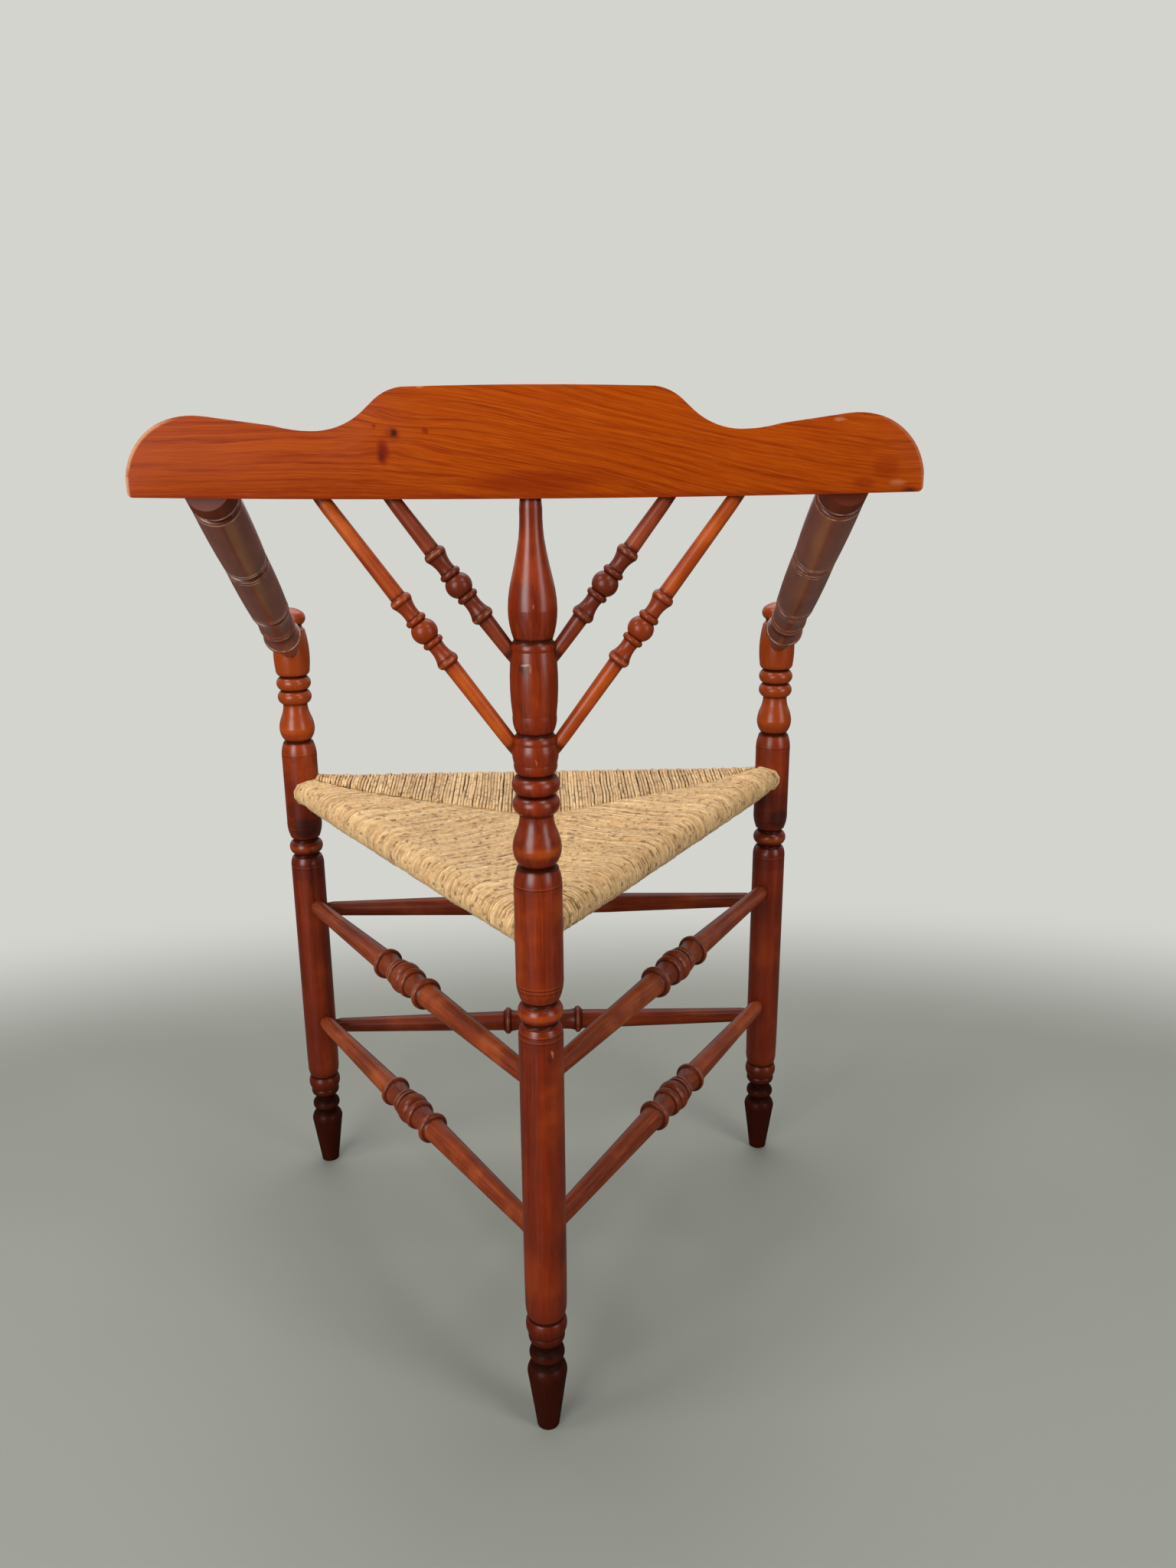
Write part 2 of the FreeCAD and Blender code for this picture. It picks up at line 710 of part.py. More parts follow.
def crest_outline():
    """Raised tablet in the middle, a valley and a hump at each side, and rounded ends."""
    half = s.crest_length / 2
    slope_foot = s.tablet_half + s.tablet_slope * 0.93
    valley_end = s.valley_offset + s.tablet_slope
    end_rise = s.hump_height - s.crest_end_height
    side = [
        (s.tablet_half, s.crest_height - s.tablet_crown, s.tablet_crown),
        (s.tablet_half + s.tablet_slope * 0.7, s.crest_height - s.tablet_slope * 0.38, s.tablet_slope * 0.066),
        (slope_foot, s.valley_height + s.tablet_slope * 0.4, None),
        (s.valley_offset, s.valley_height, s.tablet_slope * -0.115),
        (valley_end, s.valley_height + s.tablet_slope * 0.14, s.tablet_slope * -0.03),
        (half - s.hump_inset - s.crest_corner * 3, s.hump_height - s.crest_corner * 0.25, None),
        (half - s.hump_inset + s.crest_corner * 3, s.hump_height - s.crest_corner * 0.3, s.crest_corner * 0.3),
        (half, s.crest_end_height, end_rise * 0.215),
        (half, s.crest_corner + s.crest_bottom_rise, None),
        (half - s.crest_corner, s.crest_bottom_rise, s.crest_corner * 0.3),
    ]
    outline = Outline(s.crest_corner, s.crest_bottom_rise)
    outline.to(s.crest_length - s.crest_corner, s.crest_bottom_rise, s.crest_bottom_rise)
    for index in range(len(side) - 1, 0, -1):
        outline.to(half + side[index - 1][0], side[index - 1][1], side[index][2])
    for x, y, bulge in side[:-1]:
        outline.to(half - x, y, bulge)
    outline.bulges.append(side[-1][2])
    return outline


board = plate("crest_blank", "XZ_Plane", crest_outline(), s.crest_thickness * 4 + s.crest_sagitta * 2)
stand(board, (-s.crest_length / 2, rear_line, crest_level))
outer = cylinder("crest_outer", crest_bend + s.crest_thickness / 2, s.crest_height * 2)
inner = cylinder("crest_inner", crest_face_bend, s.crest_height * 2)
for piece in (outer, inner):
    stand(piece, (as_size(0), bend_centre, crest_level - s.crest_height / 2))
bent = doc.addObject("Part::Common", "crest_bent")
bent.Base = board
bent.Tool = without("crest_bend", outer, [inner])
tenon_hole = socket("top_tenon_socket", None, None, s.top_neck_radius, s.top_tenon_radius,
                    s.tenon_margin + s.top_tenon_length)
crest_sockets.append(stand(tenon_hole, (as_size(0), rear_line, crest_level - s.tenon_margin)))
keep("crest_rail", without("crest_rail", bent, crest_sockets))


# Posts with their sockets

for post, (x, y) in post_places.items():
    node = "rear_post" if post == "rear" else f"front_post_{post}"
    blank = turned(node + "_turned", rear_post_turning() if post == "rear" else front_post_turning())
    stand(blank, (x, y, as_size(0)))
    keep(node, without(node, blank, post_sockets[post]))


# Seat: rush wound over the three rails

def seat_triangle(share):
    """The triangle of the three posts' axes, drawn in to a share of its size about its centre."""
    centre = rear_line - s.post_depth * 2 / 3
    corners = []
    for post in ("left", "rear", "right"):
        x, y = post_places[post]
        corners.append((half_spread + x * share, rear_line + centre + (y - centre) * share))
    outline = Outline(*corners[0])
    for corner in corners[1:]:
        outline.to(*corner)
    return outline


def round_rail(name, first, second, level, steps, start):
    """A turned piece along a rail, from a distance off the first post's axis."""
    ends = [[*post_places[post], level] for post in (first, second)]
    way = between(*ends)
    t = Turning(steps[0][1])
    for step in steps:
        t.up(*step)
    return aim(turned(name, t), along(ends[0], way, start), way)


rails = {
    "front": ("left", "right", seat_level),
    "left": ("left", "rear", seat_level - s.rail_stagger / 2),
    "right": ("right", "rear", seat_level + s.rail_stagger / 2),
}
web = plate("rush_web", "XY_Plane", seat_triangle(s.web_share), s.seat_thickness)
stand(web, (-half_spread, -rear_line, seat_level))
rolls = []
rush_cutters = []
for side, rail in rails.items():
    apart = length_of(between(post_places[rail[0]] + (as_size(0),), post_places[rail[1]] + (as_size(0),)))
    free = apart - (s.seat_block_radius + s.soft_gap) * 2
    crown = s.rail_radius + s.rush_thickness
    rolls.append(round_rail(f"rush_roll_{side}", *rail, [
        (s.roll_end_height, s.roll_end_radius, s.roll_end_height / 4),
        (free - s.roll_end_height * 2, s.roll_end_radius, crown - s.roll_end_radius),
        (s.roll_end_height, s.rail_end_radius + s.rush_thickness / 2, s.roll_end_height / 4),
    ], s.seat_block_radius + s.soft_gap))
    third = (free - s.tenon_margin * 2) / 3
    slack = s.tenon_margin * 2 + s.soft_gap
    rush_cutters.append(round_rail(f"rail_room_{side}", *rail, [
        (slack, s.rail_end_radius + s.soft_gap, None),
        (third, s.rail_radius + s.soft_gap, None),
        (third, s.rail_radius + s.soft_gap, None),
        (third, s.rail_end_radius + s.soft_gap, None),
        (slack, s.rail_end_radius + s.soft_gap, None),
    ], s.seat_block_radius - s.tenon_margin))
wound = doc.addObject("Part::MultiFuse", "rush_wound")
wound.Shapes = [web] + rolls
for post, (x, y) in post_places.items():
    room = cylinder(f"post_room_{post}", s.seat_block_radius + s.soft_gap, seat_block_top)
    rush_cutters.append(stand(room, (x, y, as_size(0))))
keep("rush_seat", without("rush_seat", wound, rush_cutters))


# Checks, then one file for each node

doc.recompute()
for item in doc.Objects:
    if "Invalid" in item.State or "Error" in item.State:
        raise RuntimeError(f"{item.Name} failed: {item.State}")
os.makedirs("parts", exist_ok=True)
for node, piece in nodes.items():
    shape = piece.Shape
    if shape.isNull() or not shape.isValid() or len(shape.Solids) != 1:
        raise RuntimeError(f"{node} isn't one valid solid")
    shape.exportStep(f"parts/{node}.step")
    print(f"{node}: {shape.Volume / 1000:.1f} cm3")
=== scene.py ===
# Corner chair with turned posts and a rush seat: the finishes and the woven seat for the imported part
import math
import random

import bmesh
import bpy
from mathutils import Matrix, Vector, noise


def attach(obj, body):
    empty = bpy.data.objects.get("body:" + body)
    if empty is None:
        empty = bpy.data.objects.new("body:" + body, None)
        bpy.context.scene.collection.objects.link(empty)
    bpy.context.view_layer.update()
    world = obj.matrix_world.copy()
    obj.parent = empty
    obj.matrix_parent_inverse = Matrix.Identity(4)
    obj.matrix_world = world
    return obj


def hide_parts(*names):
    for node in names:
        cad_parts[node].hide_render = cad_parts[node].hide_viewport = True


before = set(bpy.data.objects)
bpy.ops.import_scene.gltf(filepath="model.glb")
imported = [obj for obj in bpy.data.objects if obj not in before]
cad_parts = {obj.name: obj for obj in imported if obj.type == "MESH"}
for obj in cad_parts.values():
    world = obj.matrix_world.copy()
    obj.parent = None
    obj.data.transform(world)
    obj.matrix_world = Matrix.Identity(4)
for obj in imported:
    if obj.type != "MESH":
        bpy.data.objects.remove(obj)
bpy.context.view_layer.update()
print("frame loaded:", len(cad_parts), "nodes")

scene = bpy.context.scene
scene.view_settings.view_transform = "Standard"


# Places on the chair, in metres, as in the solid model

corners = {
    "left": Vector((0.24, -0.1885, 0)),
    "right": Vector((-0.24, -0.1885, 0)),
    "rear": Vector((0, 0.1885, 0)),
}
middle = Vector((0, -0.0568, 0))  # where the three seams of the seat meet
inwardReach = 0.1317  # from the middle to each rail
seatLevel = 0.4299  # of the front rail's axis
railStep = {"left": -0.003, "right": 0.003, "front": 0.0}


def at(corner, height):
    return corners[corner] + Vector((0, 0, height))


# Shader tools

def linear(part):
    # a colour part from 0 to 255, as the light it stands for
    share = part / 255
    return share / 12.92 if part <= 10 else ((share + 0.055) / 1.055) ** 2.4


def paint(red, green, blue):
    return (linear(red), linear(green), linear(blue), 1)


class Wire:
    # a socket that can be used in a sum
    def __init__(self, finish, socket):
        self.finish = finish
        self.socket = socket

    def sum(self, operation, *values):
        return self.finish.node("ShaderNodeMath", {"operation": operation}, dict(enumerate(values)))

    def sine(self):
        return self.sum("SINE", self)

    def __add__(self, other):
        return self.sum("ADD", self, other)

    def __radd__(self, other):
        return self.sum("ADD", other, self)

    def __sub__(self, other):
        return self.sum("SUBTRACT", self, other)

    def __rsub__(self, other):
        return self.sum("SUBTRACT", other, self)

    def __mul__(self, other):
        return self.sum("MULTIPLY", self, other)

    def __rmul__(self, other):
        return self.sum("MULTIPLY", other, self)

    def __pow__(self, other):
        return self.sum("POWER", self, other)

    def __abs__(self):
        return self.sum("ABSOLUTE", self)

    def ramp(self, low, high):
        # 0 below low and 1 above high, or the other way round where low is the larger
        return self.finish.node("ShaderNodeMapRange", {"interpolation_type": "SMOOTHSTEP"},
                                {0: self, 1: low, 2: high, 3: 0.0, 4: 1.0})

    def within(self, low, high, soft):
        return self.ramp(low - soft, low + soft) * self.ramp(high + soft, high - soft)


class Finish:
    # one material, with its Principled shader and the nodes that feed it
    def __init__(self, name, fixed):
        self.material = bpy.data.materials.new(name)
        self.material.use_nodes = True
        self.tree = self.material.node_tree
        self.shader = self.tree.nodes["Principled BSDF"]
        for socket, value in fixed.items():
            self.shader.inputs[socket].default_value = value

    def feed(self, socket, value):
        if isinstance(value, Wire):
            self.tree.links.new(value.socket, socket)
        else:
            socket.default_value = value

    def node(self, kind, settings, inputs, out=0):
        made = self.tree.nodes.new(kind)
        for name, value in settings.items():
            setattr(made, name, value)
        for socket, value in inputs.items():
            self.feed(made.inputs[socket], value)
        return Wire(self, made.outputs[out])

    def place(self):
        return self.node("ShaderNodeTexCoord", {}, {}, "Object")

    def along(self, start, end):
        # coordinates in metres from start, with Z running towards end
        turn = (end - start).to_track_quat("Z", "Y").to_euler()
        return self.node("ShaderNodeMapping", {"vector_type": "TEXTURE"},
                         {"Vector": self.place(), "Location": start, "Rotation": turn})

    def split(self, vector):
        outputs = self.node("ShaderNodeSeparateXYZ", {}, {0: vector}).socket.node.outputs
        return [Wire(self, outputs[axis]) for axis in range(3)]

    def join(self, x, y, z):
        return self.node("ShaderNodeCombineXYZ", {}, {0: x, 1: y, 2: z})

    def length(self, vector):
        return self.node("ShaderNodeVectorMath", {"operation": "LENGTH"}, {0: vector}, "Value")

    def stretch(self, vector, x, y, z):
        return self.node("ShaderNodeVectorMath", {"operation": "MULTIPLY"}, {0: vector, 1: (x, y, z)})

    def shift(self, vector, x, y, z):
        return self.node("ShaderNodeVectorMath", {"operation": "ADD"}, {0: vector, 1: (x, y, z)})

    def cloud(self, vector, scale=1.0, detail=3.0, rough=0.5, bend=0.0):
        return self.node("ShaderNodeTexNoise", {}, {"Vector": vector, "Scale": scale, "Detail": detail,
                                                    "Roughness": rough, "Distortion": bend})

    def stray(self, spot, scale, x, y, z):
        # a place moved about by clouds, by up to half of x, y and z either way
        cloud = self.node("ShaderNodeTexNoise", {}, {"Vector": spot, "Scale": scale}, "Color")
        moved = self.node("ShaderNodeVectorMath", {"operation": "MULTIPLY_ADD"},
                          {0: cloud, 1: (x, y, z), 2: spot})
        return self.shift(moved, -x / 2, -y / 2, -z / 2)

    def blob(self, spot, centre, reach, soft=0.5):
        # 1 in the middle of an egg-shaped spot, 0 outside it
        moved = self.shift(spot, *(-value for value in centre))
        away = self.length(self.stretch(moved, *(1 / value for value in reach)))
        return away.ramp(1.0, soft)

    def attribute(self, name):
        return self.node("ShaderNodeAttribute", {"attribute_name": name}, {}, "Fac")

    def gradient(self, value, stops):
        made = self.node("ShaderNodeValToRGB", {}, {0: value})
        marks = made.socket.node.color_ramp.elements
        while len(marks) < len(stops):
            marks.new(0.5)
        for mark, (place, colour) in zip(marks, stops):
            mark.position = place
            mark.color = colour
        return made

    def mix(self, share, first, second):
        return self.node("ShaderNodeMix", {"data_type": "RGBA"}, {0: share, 6: first, 7: second}, 2)

    def bump(self, height, distance, strength=1.0):
        # height is 0 to 1, and distance what that is in metres
        bump = self.node("ShaderNodeBump", {}, {"Height": height, "Distance": distance, "Strength": strength})
        self.feed(self.shader.inputs["Normal"], bump)

    def colour(self, value):
        self.feed(self.shader.inputs["Base Color"], value)

    def roughness(self, value):
        self.feed(self.shader.inputs["Roughness"], value)


def dress(node, finish):
    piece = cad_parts[node]
    piece.data.materials.clear()
    piece.data.materials.append(finish.material)


# Camera, at the photograph's place

camera = {
    "place": (-0.0053, 0.9394, 0.7545), "turn": -0.0401, "tilt": 0.2813, "roll": -0.0065,
    "lens": 26.318, "sensor": 36, "clip": (0.01, 100),
}


def makeCamera():
    turn, tilt, roll = camera["turn"], camera["tilt"], camera["roll"]
    look = Vector((math.sin(turn) * math.cos(tilt), -math.cos(turn) * math.cos(tilt), -math.sin(tilt)))
    right = Vector((-math.cos(turn), -math.sin(turn), 0))
    up = right.cross(look)
    rolledRight = right * math.cos(roll) + up * math.sin(roll)
    rolledUp = up * math.cos(roll) - right * math.sin(roll)
    stance = Matrix((rolledRight, rolledUp, -look)).transposed().to_4x4()
    eye = bpy.data.objects.new("camera", bpy.data.cameras.new("camera"))
    eye.data.lens = camera["lens"]
    eye.data.sensor_width = camera["sensor"]
    eye.data.clip_start, eye.data.clip_end = camera["clip"]
    eye.matrix_world = Matrix.Translation(camera["place"]) @ stance
    scene.collection.objects.link(eye)
    scene.camera = eye


makeCamera()


# Floor, lamps and surroundings

studio = {
    "backdrop": paint(212, 212, 207),
    "floor": paint(130, 132, 123),
    "floorPatch": paint(142, 144, 136),
    # the floor as polished pieces mirror it, darkened as a painted reflection
    "floorMirrored": paint(30, 26, 22),
    "floorRadius": 40,
    "fade": (0.5, 0.95),  # distances from the chair over which the floor turns into the backdrop
    "daylight": paint(250, 251, 252),
    "world": 0.2,
    # what a polished piece mirrors: the dim room behind the camera, the pale wall before it, where they meet
    "gloss": (0.035, 0.6),
    "glossTurn": (0.35, -0.75),
    "aimed": (0, 0, 0.45),
    "lamps": [
        {"name": "windowLeft", "side": 34, "rise": 14, "away": 2.7, "size": (1.25, 1.5), "power": 62},
        {"name": "windowRight", "side": -50, "rise": 14, "away": 2.7, "size": (0.9, 1.4), "power": 24},
        {"name": "highLeft", "side": 66, "rise": 52, "away": 2.6, "size": (0.7, 0.7), "power": 20},
        {"name": "highRight", "side": -44, "rise": 52, "away": 2.6, "size": (0.6, 0.6), "power": 16},
        {"name": "skyAbove", "side": 180, "rise": 66, "away": 2.6, "size": (2.6, 2.6), "power": 52},
    ],
}


def makeFloor():
    shell = bmesh.new()
    bmesh.ops.create_circle(shell, cap_ends=True, radius=studio["floorRadius"], segments=64)
    mesh = bpy.data.meshes.new("floor")
    shell.to_mesh(mesh)
    shell.free()
    floor = bpy.data.objects.new("floor", mesh)
    scene.collection.objects.link(floor)

    finish = Finish("floorPaint", {"Roughness": 0.6})
    spot = finish.place()
    tint = finish.mix(finish.cloud(spot, 3, 4) * 0.25, studio["floor"], studio["floorPatch"])
    # painted reflection: the floor is darker where polished pieces mirror it
    mirrored = finish.node("ShaderNodeLightPath", {}, {}, "Is Glossy Ray")
    finish.colour(finish.mix(mirrored * 0.7, tint, studio["floorMirrored"]))
    far = finish.length(finish.stretch(spot, 0.5, 1, 1)).ramp(*studio["fade"])
    glow = finish.node("ShaderNodeEmission", {}, {"Color": studio["backdrop"], "Strength": 1.0})
    seen = finish.node("ShaderNodeLightPath", {}, {}, "Is Camera Ray")
    paintwork = Wire(finish, finish.shader.outputs[0])
    both = finish.node("ShaderNodeMixShader", {}, {0: far * seen, 1: paintwork, 2: glow})
    finish.feed(finish.tree.nodes["Material Output"].inputs["Surface"], both)
    mesh.materials.append(finish.material)


def makeWorld():
    world = bpy.data.worlds.new("studio")
    world.use_nodes = True
    scene.world = world
    nodes, links = world.node_tree.nodes, world.node_tree.links
    diffuse = nodes["Background"]
    diffuse.inputs["Color"].default_value = studio["daylight"]
    diffuse.inputs["Strength"].default_value = studio["world"]
    backdrop = nodes.new("ShaderNodeBackground")
    backdrop.inputs["Color"].default_value = studio["backdrop"]
    mirrored = nodes.new("ShaderNodeBackground")
    mirrored.inputs["Color"].default_value = studio["daylight"]
    direction = nodes.new("ShaderNodeTexCoord")
    parts = nodes.new("ShaderNodeSeparateXYZ")
    strength = nodes.new("ShaderNodeMapRange")
    strength.interpolation_type = "SMOOTHSTEP"
    for index, value in enumerate((*studio["glossTurn"], *studio["gloss"]), 1):
        strength.inputs[index].default_value = value
    links.new(direction.outputs["Generated"], parts.inputs[0])
    links.new(parts.outputs["Y"], strength.inputs[0])
    links.new(strength.outputs[0], mirrored.inputs["Strength"])

    path = nodes.new("ShaderNodeLightPath")
    lit = nodes.new("ShaderNodeMixShader")
    links.new(path.outputs["Is Glossy Ray"], lit.inputs[0])
    links.new(diffuse.outputs[0], lit.inputs[1])
    links.new(mirrored.outputs[0], lit.inputs[2])
    choice = nodes.new("ShaderNodeMixShader")
    links.new(path.outputs["Is Camera Ray"], choice.inputs[0])
    links.new(lit.outputs[0], choice.inputs[1])
    links.new(backdrop.outputs[0], choice.inputs[2])
    links.new(choice.outputs[0], nodes["World Output"].inputs["Surface"])


def makeLamp(name, side, rise, away, size, power):
    # side and rise are the angles in degrees at which the chair sees the lamp
    light = bpy.data.lights.new(name, "AREA")
    light.shape = "RECTANGLE"
    light.size, light.size_y = size
    light.energy = power
    side, rise = math.radians(side), math.radians(rise)
    way = Vector((math.sin(side) * math.cos(rise), math.cos(side) * math.cos(rise), math.sin(rise)))
    holder = bpy.data.objects.new(name, light)
    holder.location = Vector(studio["aimed"]) + way * away
    holder.rotation_euler = (-way).to_track_quat("-Z", "Y").to_euler()
    scene.collection.objects.link(holder)


makeFloor()
makeWorld()
for lamp in studio["lamps"]:
    makeLamp(**lamp)
print("studio ready")


# Turned wood

woods = {  # tones, then how shiny the lacquer is, how rough, how mirroring, and how streaked the wood is
    "posts": {
        "deep": paint(80, 17, 0), "body": paint(124, 37, 0), "warm": paint(164, 68, 8),
        "grimeAndShade": paint(26, 7, 3), "pale": paint(204, 130, 84),
        "shine": 0.9, "gloss": 0.29, "mirror": 1.4, "streaks": 0.4,
    },
    "rungs": {
        "deep": paint(88, 28, 6), "body": paint(136, 55, 18), "warm": paint(176, 94, 48),
        "grimeAndShade": paint(28, 9, 4), "pale": paint(196, 132, 94),
        "shine": 0.7, "gloss": 0.32, "mirror": 1.4, "streaks": 0.5,
    },
    # the rung wood darker and duller, as painted shade under the seat, for the front rungs
    "shadedRungs": {
        "deep": paint(70, 18, 2), "body": paint(106, 36, 8), "warm": paint(140, 64, 26),
        "grimeAndShade": paint(28, 9, 4), "pale": paint(176, 112, 76),
        "shine": 0.45, "gloss": 0.32, "mirror": 1.4, "streaks": 0.5,
    },
    "outer": {
        "deep": paint(114, 38, 4), "body": paint(160, 64, 8), "warm": paint(194, 102, 32),
        "grimeAndShade": paint(52, 18, 7), "pale": paint(206, 136, 90),
        "shine": 0.6, "gloss": 0.32, "mirror": 1.4, "streaks": 0.35,
    },
    "inner": {
        "deep": paint(84, 27, 8), "body": paint(124, 48, 20), "warm": paint(160, 76, 40),
        "grimeAndShade": paint(42, 14, 7), "pale": paint(200, 130, 90),
        "shine": 0.6, "gloss": 0.32, "mirror": 1.4, "streaks": 0.35,
    },
    # paler, pinker tones as painted sheen: the sky that the arms mirror, painted into the wood
    "arms": {
        "deep": paint(96, 38, 22), "body": paint(136, 68, 46), "warm": paint(154, 86, 60),
        "grimeAndShade": paint(26, 8, 5), "pale": paint(226, 196, 172),
        "shine": 1.0, "gloss": 0.3, "mirror": 1.6, "streaks": 0.3,
    },
    "rails": {
        "deep": paint(96, 62, 38), "body": paint(150, 105, 66), "warm": paint(176, 130, 88),
        "grimeAndShade": paint(60, 40, 26), "pale": paint(196, 160, 120),
        "shine": 0.0, "gloss": 0.5, "mirror": 1.4, "streaks": 0.8,
    },
}
grain = {
    # cells of each cloud in a metre, across the piece twice and along it
    "streak": (170, 170, 7), "vein": (700, 700, 26), "pores": (1500, 1500, 150), "rubbedAndHighlit": (160, 160, 30),
    "patch": 20, "spots": 160,
    # metres that spots stray, that each piece's clouds are set apart by, and that the bumps are high
    "stray": 0.004, "apart": 0.05, "relief": 0.00018,
}
marks = {  # where each mark on a turning ends and how softly, in metres
    "crown": 0.0015, "shade": 0.0008, "seam": 0.0004, "rubbedAndHighlit": (0.0011, 0.0003),
    "scribe": (0.0009, 0.0002), "lip": (0.0008, 0.0002), "lipAway": 0.0011,
}


def summed(parts):
    # the sum of some wires, or None where there are none
    whole = None
    for part in parts:
        whole = part if whole is None else whole + part
    return whole


def makeClouds(finish, name, local):
    # the shift keeps pieces apart, and is small, so that the fine clouds keep their precision
    seed = sum(ord(letter) for letter in name) % 89 * grain["apart"]
    moved = finish.shift(local, seed, seed * 0.7, seed * 1.3)
    return {
        "moved": moved,
        "streak": finish.cloud(finish.stretch(moved, *grain["streak"]), detail=5, rough=0.6, bend=0.3),
        "vein": finish.cloud(finish.stretch(moved, *grain["vein"]), detail=3, rough=0.6),
        "pores": finish.cloud(finish.stretch(moved, *grain["pores"]), detail=2),
        "patch": finish.cloud(moved, grain["patch"], 3, 0.6),
    }


def woodColour(finish, tones, clouds):
    streaks, patch = tones["streaks"], clouds["patch"]
    share = 0.5 + (clouds["streak"] - 0.5) * (3.2 * streaks) + (patch - 0.5) * 1.2
    colour = finish.mix(share.ramp(0.0, 1.0), tones["deep"], tones["body"])
    colour = finish.mix(clouds["vein"].ramp(0.48, 0.74) * streaks * 0.6, colour, tones["warm"])
    colour = finish.mix(clouds["pores"].ramp(0.62, 0.72) * 0.4 * streaks, colour, tones["deep"])
    return finish.mix(patch.ramp(0.5, 0.72) * 0.3, colour, tones["warm"])


def shadeAlong(finish, tones, run, shape, colour):
    if "lighter" in shape:
        colour = finish.mix(run.ramp(*shape["lighter"]) * 0.5, colour, tones["warm"])
    if "darkening" in shape:
        colour = finish.mix(run.ramp(*shape["darkening"]) * 0.4, colour, tones["deep"])
    for low, high, amount in shape.get("shade", ()):
        colour = finish.mix(run.within(low, high, marks["shade"]) * amount, colour, tones["deep"])
    return colour


def rubAndHighlightCrowns(finish, tones, clouds, run, radius, shape, colour):
    # wear and painted highlights: crowns and rubbed edges are made lighter
    wearAndHighlight = summed(run.within(low, high, marks["crown"]) * radius.ramp(inner, outer)
                  for low, high, inner, outer in shape.get("wearAndHighlight", ()))
    if wearAndHighlight is not None:
        colour = finish.mix(wearAndHighlight * (clouds["patch"].ramp(0.35, 0.65) * 0.6 + 0.2), colour, tones["warm"])
    edge = summed(abs(run - place).ramp(*marks["rubbedAndHighlit"]) for place in shape.get("rubbedAndHighlit", ()))
    if edge is not None:
        broken = finish.cloud(finish.stretch(clouds["moved"], *grain["rubbedAndHighlit"]), detail=3)
        broken = broken.ramp(0.38, 0.6) * 0.6 + 0.1
        colour = finish.mix(edge * broken * shape.get("rubbing", 1.0), colour, tones["pale"])
    return colour


def settleDirtAndShade(finish, tones, clouds, run, radius, shape, colour):
    # grime and painted shade in hollows and seams, and grime on the foot, where the lacquer is dull as well
    coat = tones["shine"]
    hollows = [run.within(low, high, marks["crown"]) * radius.ramp(outer, inner)
               for low, high, inner, outer in shape.get("grimeAndShade", ())]
    seams = [abs(run - place).ramp(reach, marks["seam"]) * amount
             for place, reach, amount in shape.get("seams", ())]
    dirtAndShade = summed(hollows + seams)
    if dirtAndShade is not None:
        dirtAndShade = dirtAndShade.ramp(0.0, 1.0)
        colour = finish.mix(dirtAndShade * 0.8, colour, tones["grimeAndShade"])
        coat = coat * (1 - dirtAndShade * 0.75)
    if "foot" in shape:
        low = run.ramp(*shape["foot"])
        colour = finish.mix(low * (clouds["patch"] * 0.4 + 0.66), colour, tones["grimeAndShade"])
        coat = coat * (1 - low * 0.9)
    if "dullEnd" in shape:
        coat = coat * (0.12 + run.ramp(*shape["dullEnd"]) * 0.88)
    if isinstance(coat, Wire):
        finish.feed(finish.shader.inputs["Coat Weight"], coat)
    return colour


def cutLines(finish, tones, clouds, run, shape, colour):
    # the wood's own relief, then fine lines cut in the lathe, each with a lighter lip
    pores = clouds["pores"].ramp(0.62, 0.7)
    height = (clouds["streak"] * 0.2 + clouds["vein"] * 0.2 - pores * 0.3) * tones["streaks"]
    for place in shape.get("scribes", ()):
        scratch = abs(run - place).ramp(*marks["scribe"])
        lip = abs(run - place - marks["lipAway"]).ramp(*marks["lip"])
        colour = finish.mix(scratch * 0.55, colour, tones["grimeAndShade"])
        colour = finish.mix(lip * 0.3, colour, tones["warm"])
        height = height - scratch * 1.5
    finish.bump(height, grain["relief"], 0.1)
    return colour


def markSpots(finish, tones, shape, colour):
    if "spots" not in shape:
        return colour
    ragged = finish.stray(finish.place(), grain["spots"], *[grain["stray"]] * 3)
    for centre, reach, tone, strength in shape["spots"]:
        colour = finish.mix(finish.blob(ragged, centre, reach) * strength, colour, tones[tone])
    return colour


def turnedFinish(name, wood, start, end, shape):
    # shape holds the marks that follow the turning, all optional, in metres along the piece from start:
    # grime and painted shade in hollows, and wear and painted highlights on crowns, as (from, to, inner
    # radius, outer radius), seams of grime and painted shade as (place, reach, share), shade as (from, to,
    # share), the places of scribes and of edges rubbed and painted with highlights, rubbing as a share,
    # lighter, darkening, foot and dullEnd as the two places between which they fade; and spots as (centre,
    # reach, tone, strength)
    tones = woods[wood]
    finish = Finish(name, {"Coat Weight": tones["shine"], "Coat Roughness": tones["gloss"],
                           "Coat IOR": tones["mirror"], "Specular IOR Level": 0.03})
    local = finish.along(start, end)
    x, y, run = finish.split(local)
    radius = (x * x + y * y) ** 0.5
    clouds = makeClouds(finish, name, local)
    colour = woodColour(finish, tones, clouds)
    colour = shadeAlong(finish, tones, run, shape, colour)
    colour = rubAndHighlightCrowns(finish, tones, clouds, run, radius, shape, colour)
    colour = settleDirtAndShade(finish, tones, clouds, run, radius, shape, colour)
    colour = cutLines(finish, tones, clouds, run, shape, colour)
    colour = markSpots(finish, tones, shape, colour)
    finish.colour(colour)
    finish.roughness(0.5 + clouds["vein"] * 0.12)
    return finish


# Posts

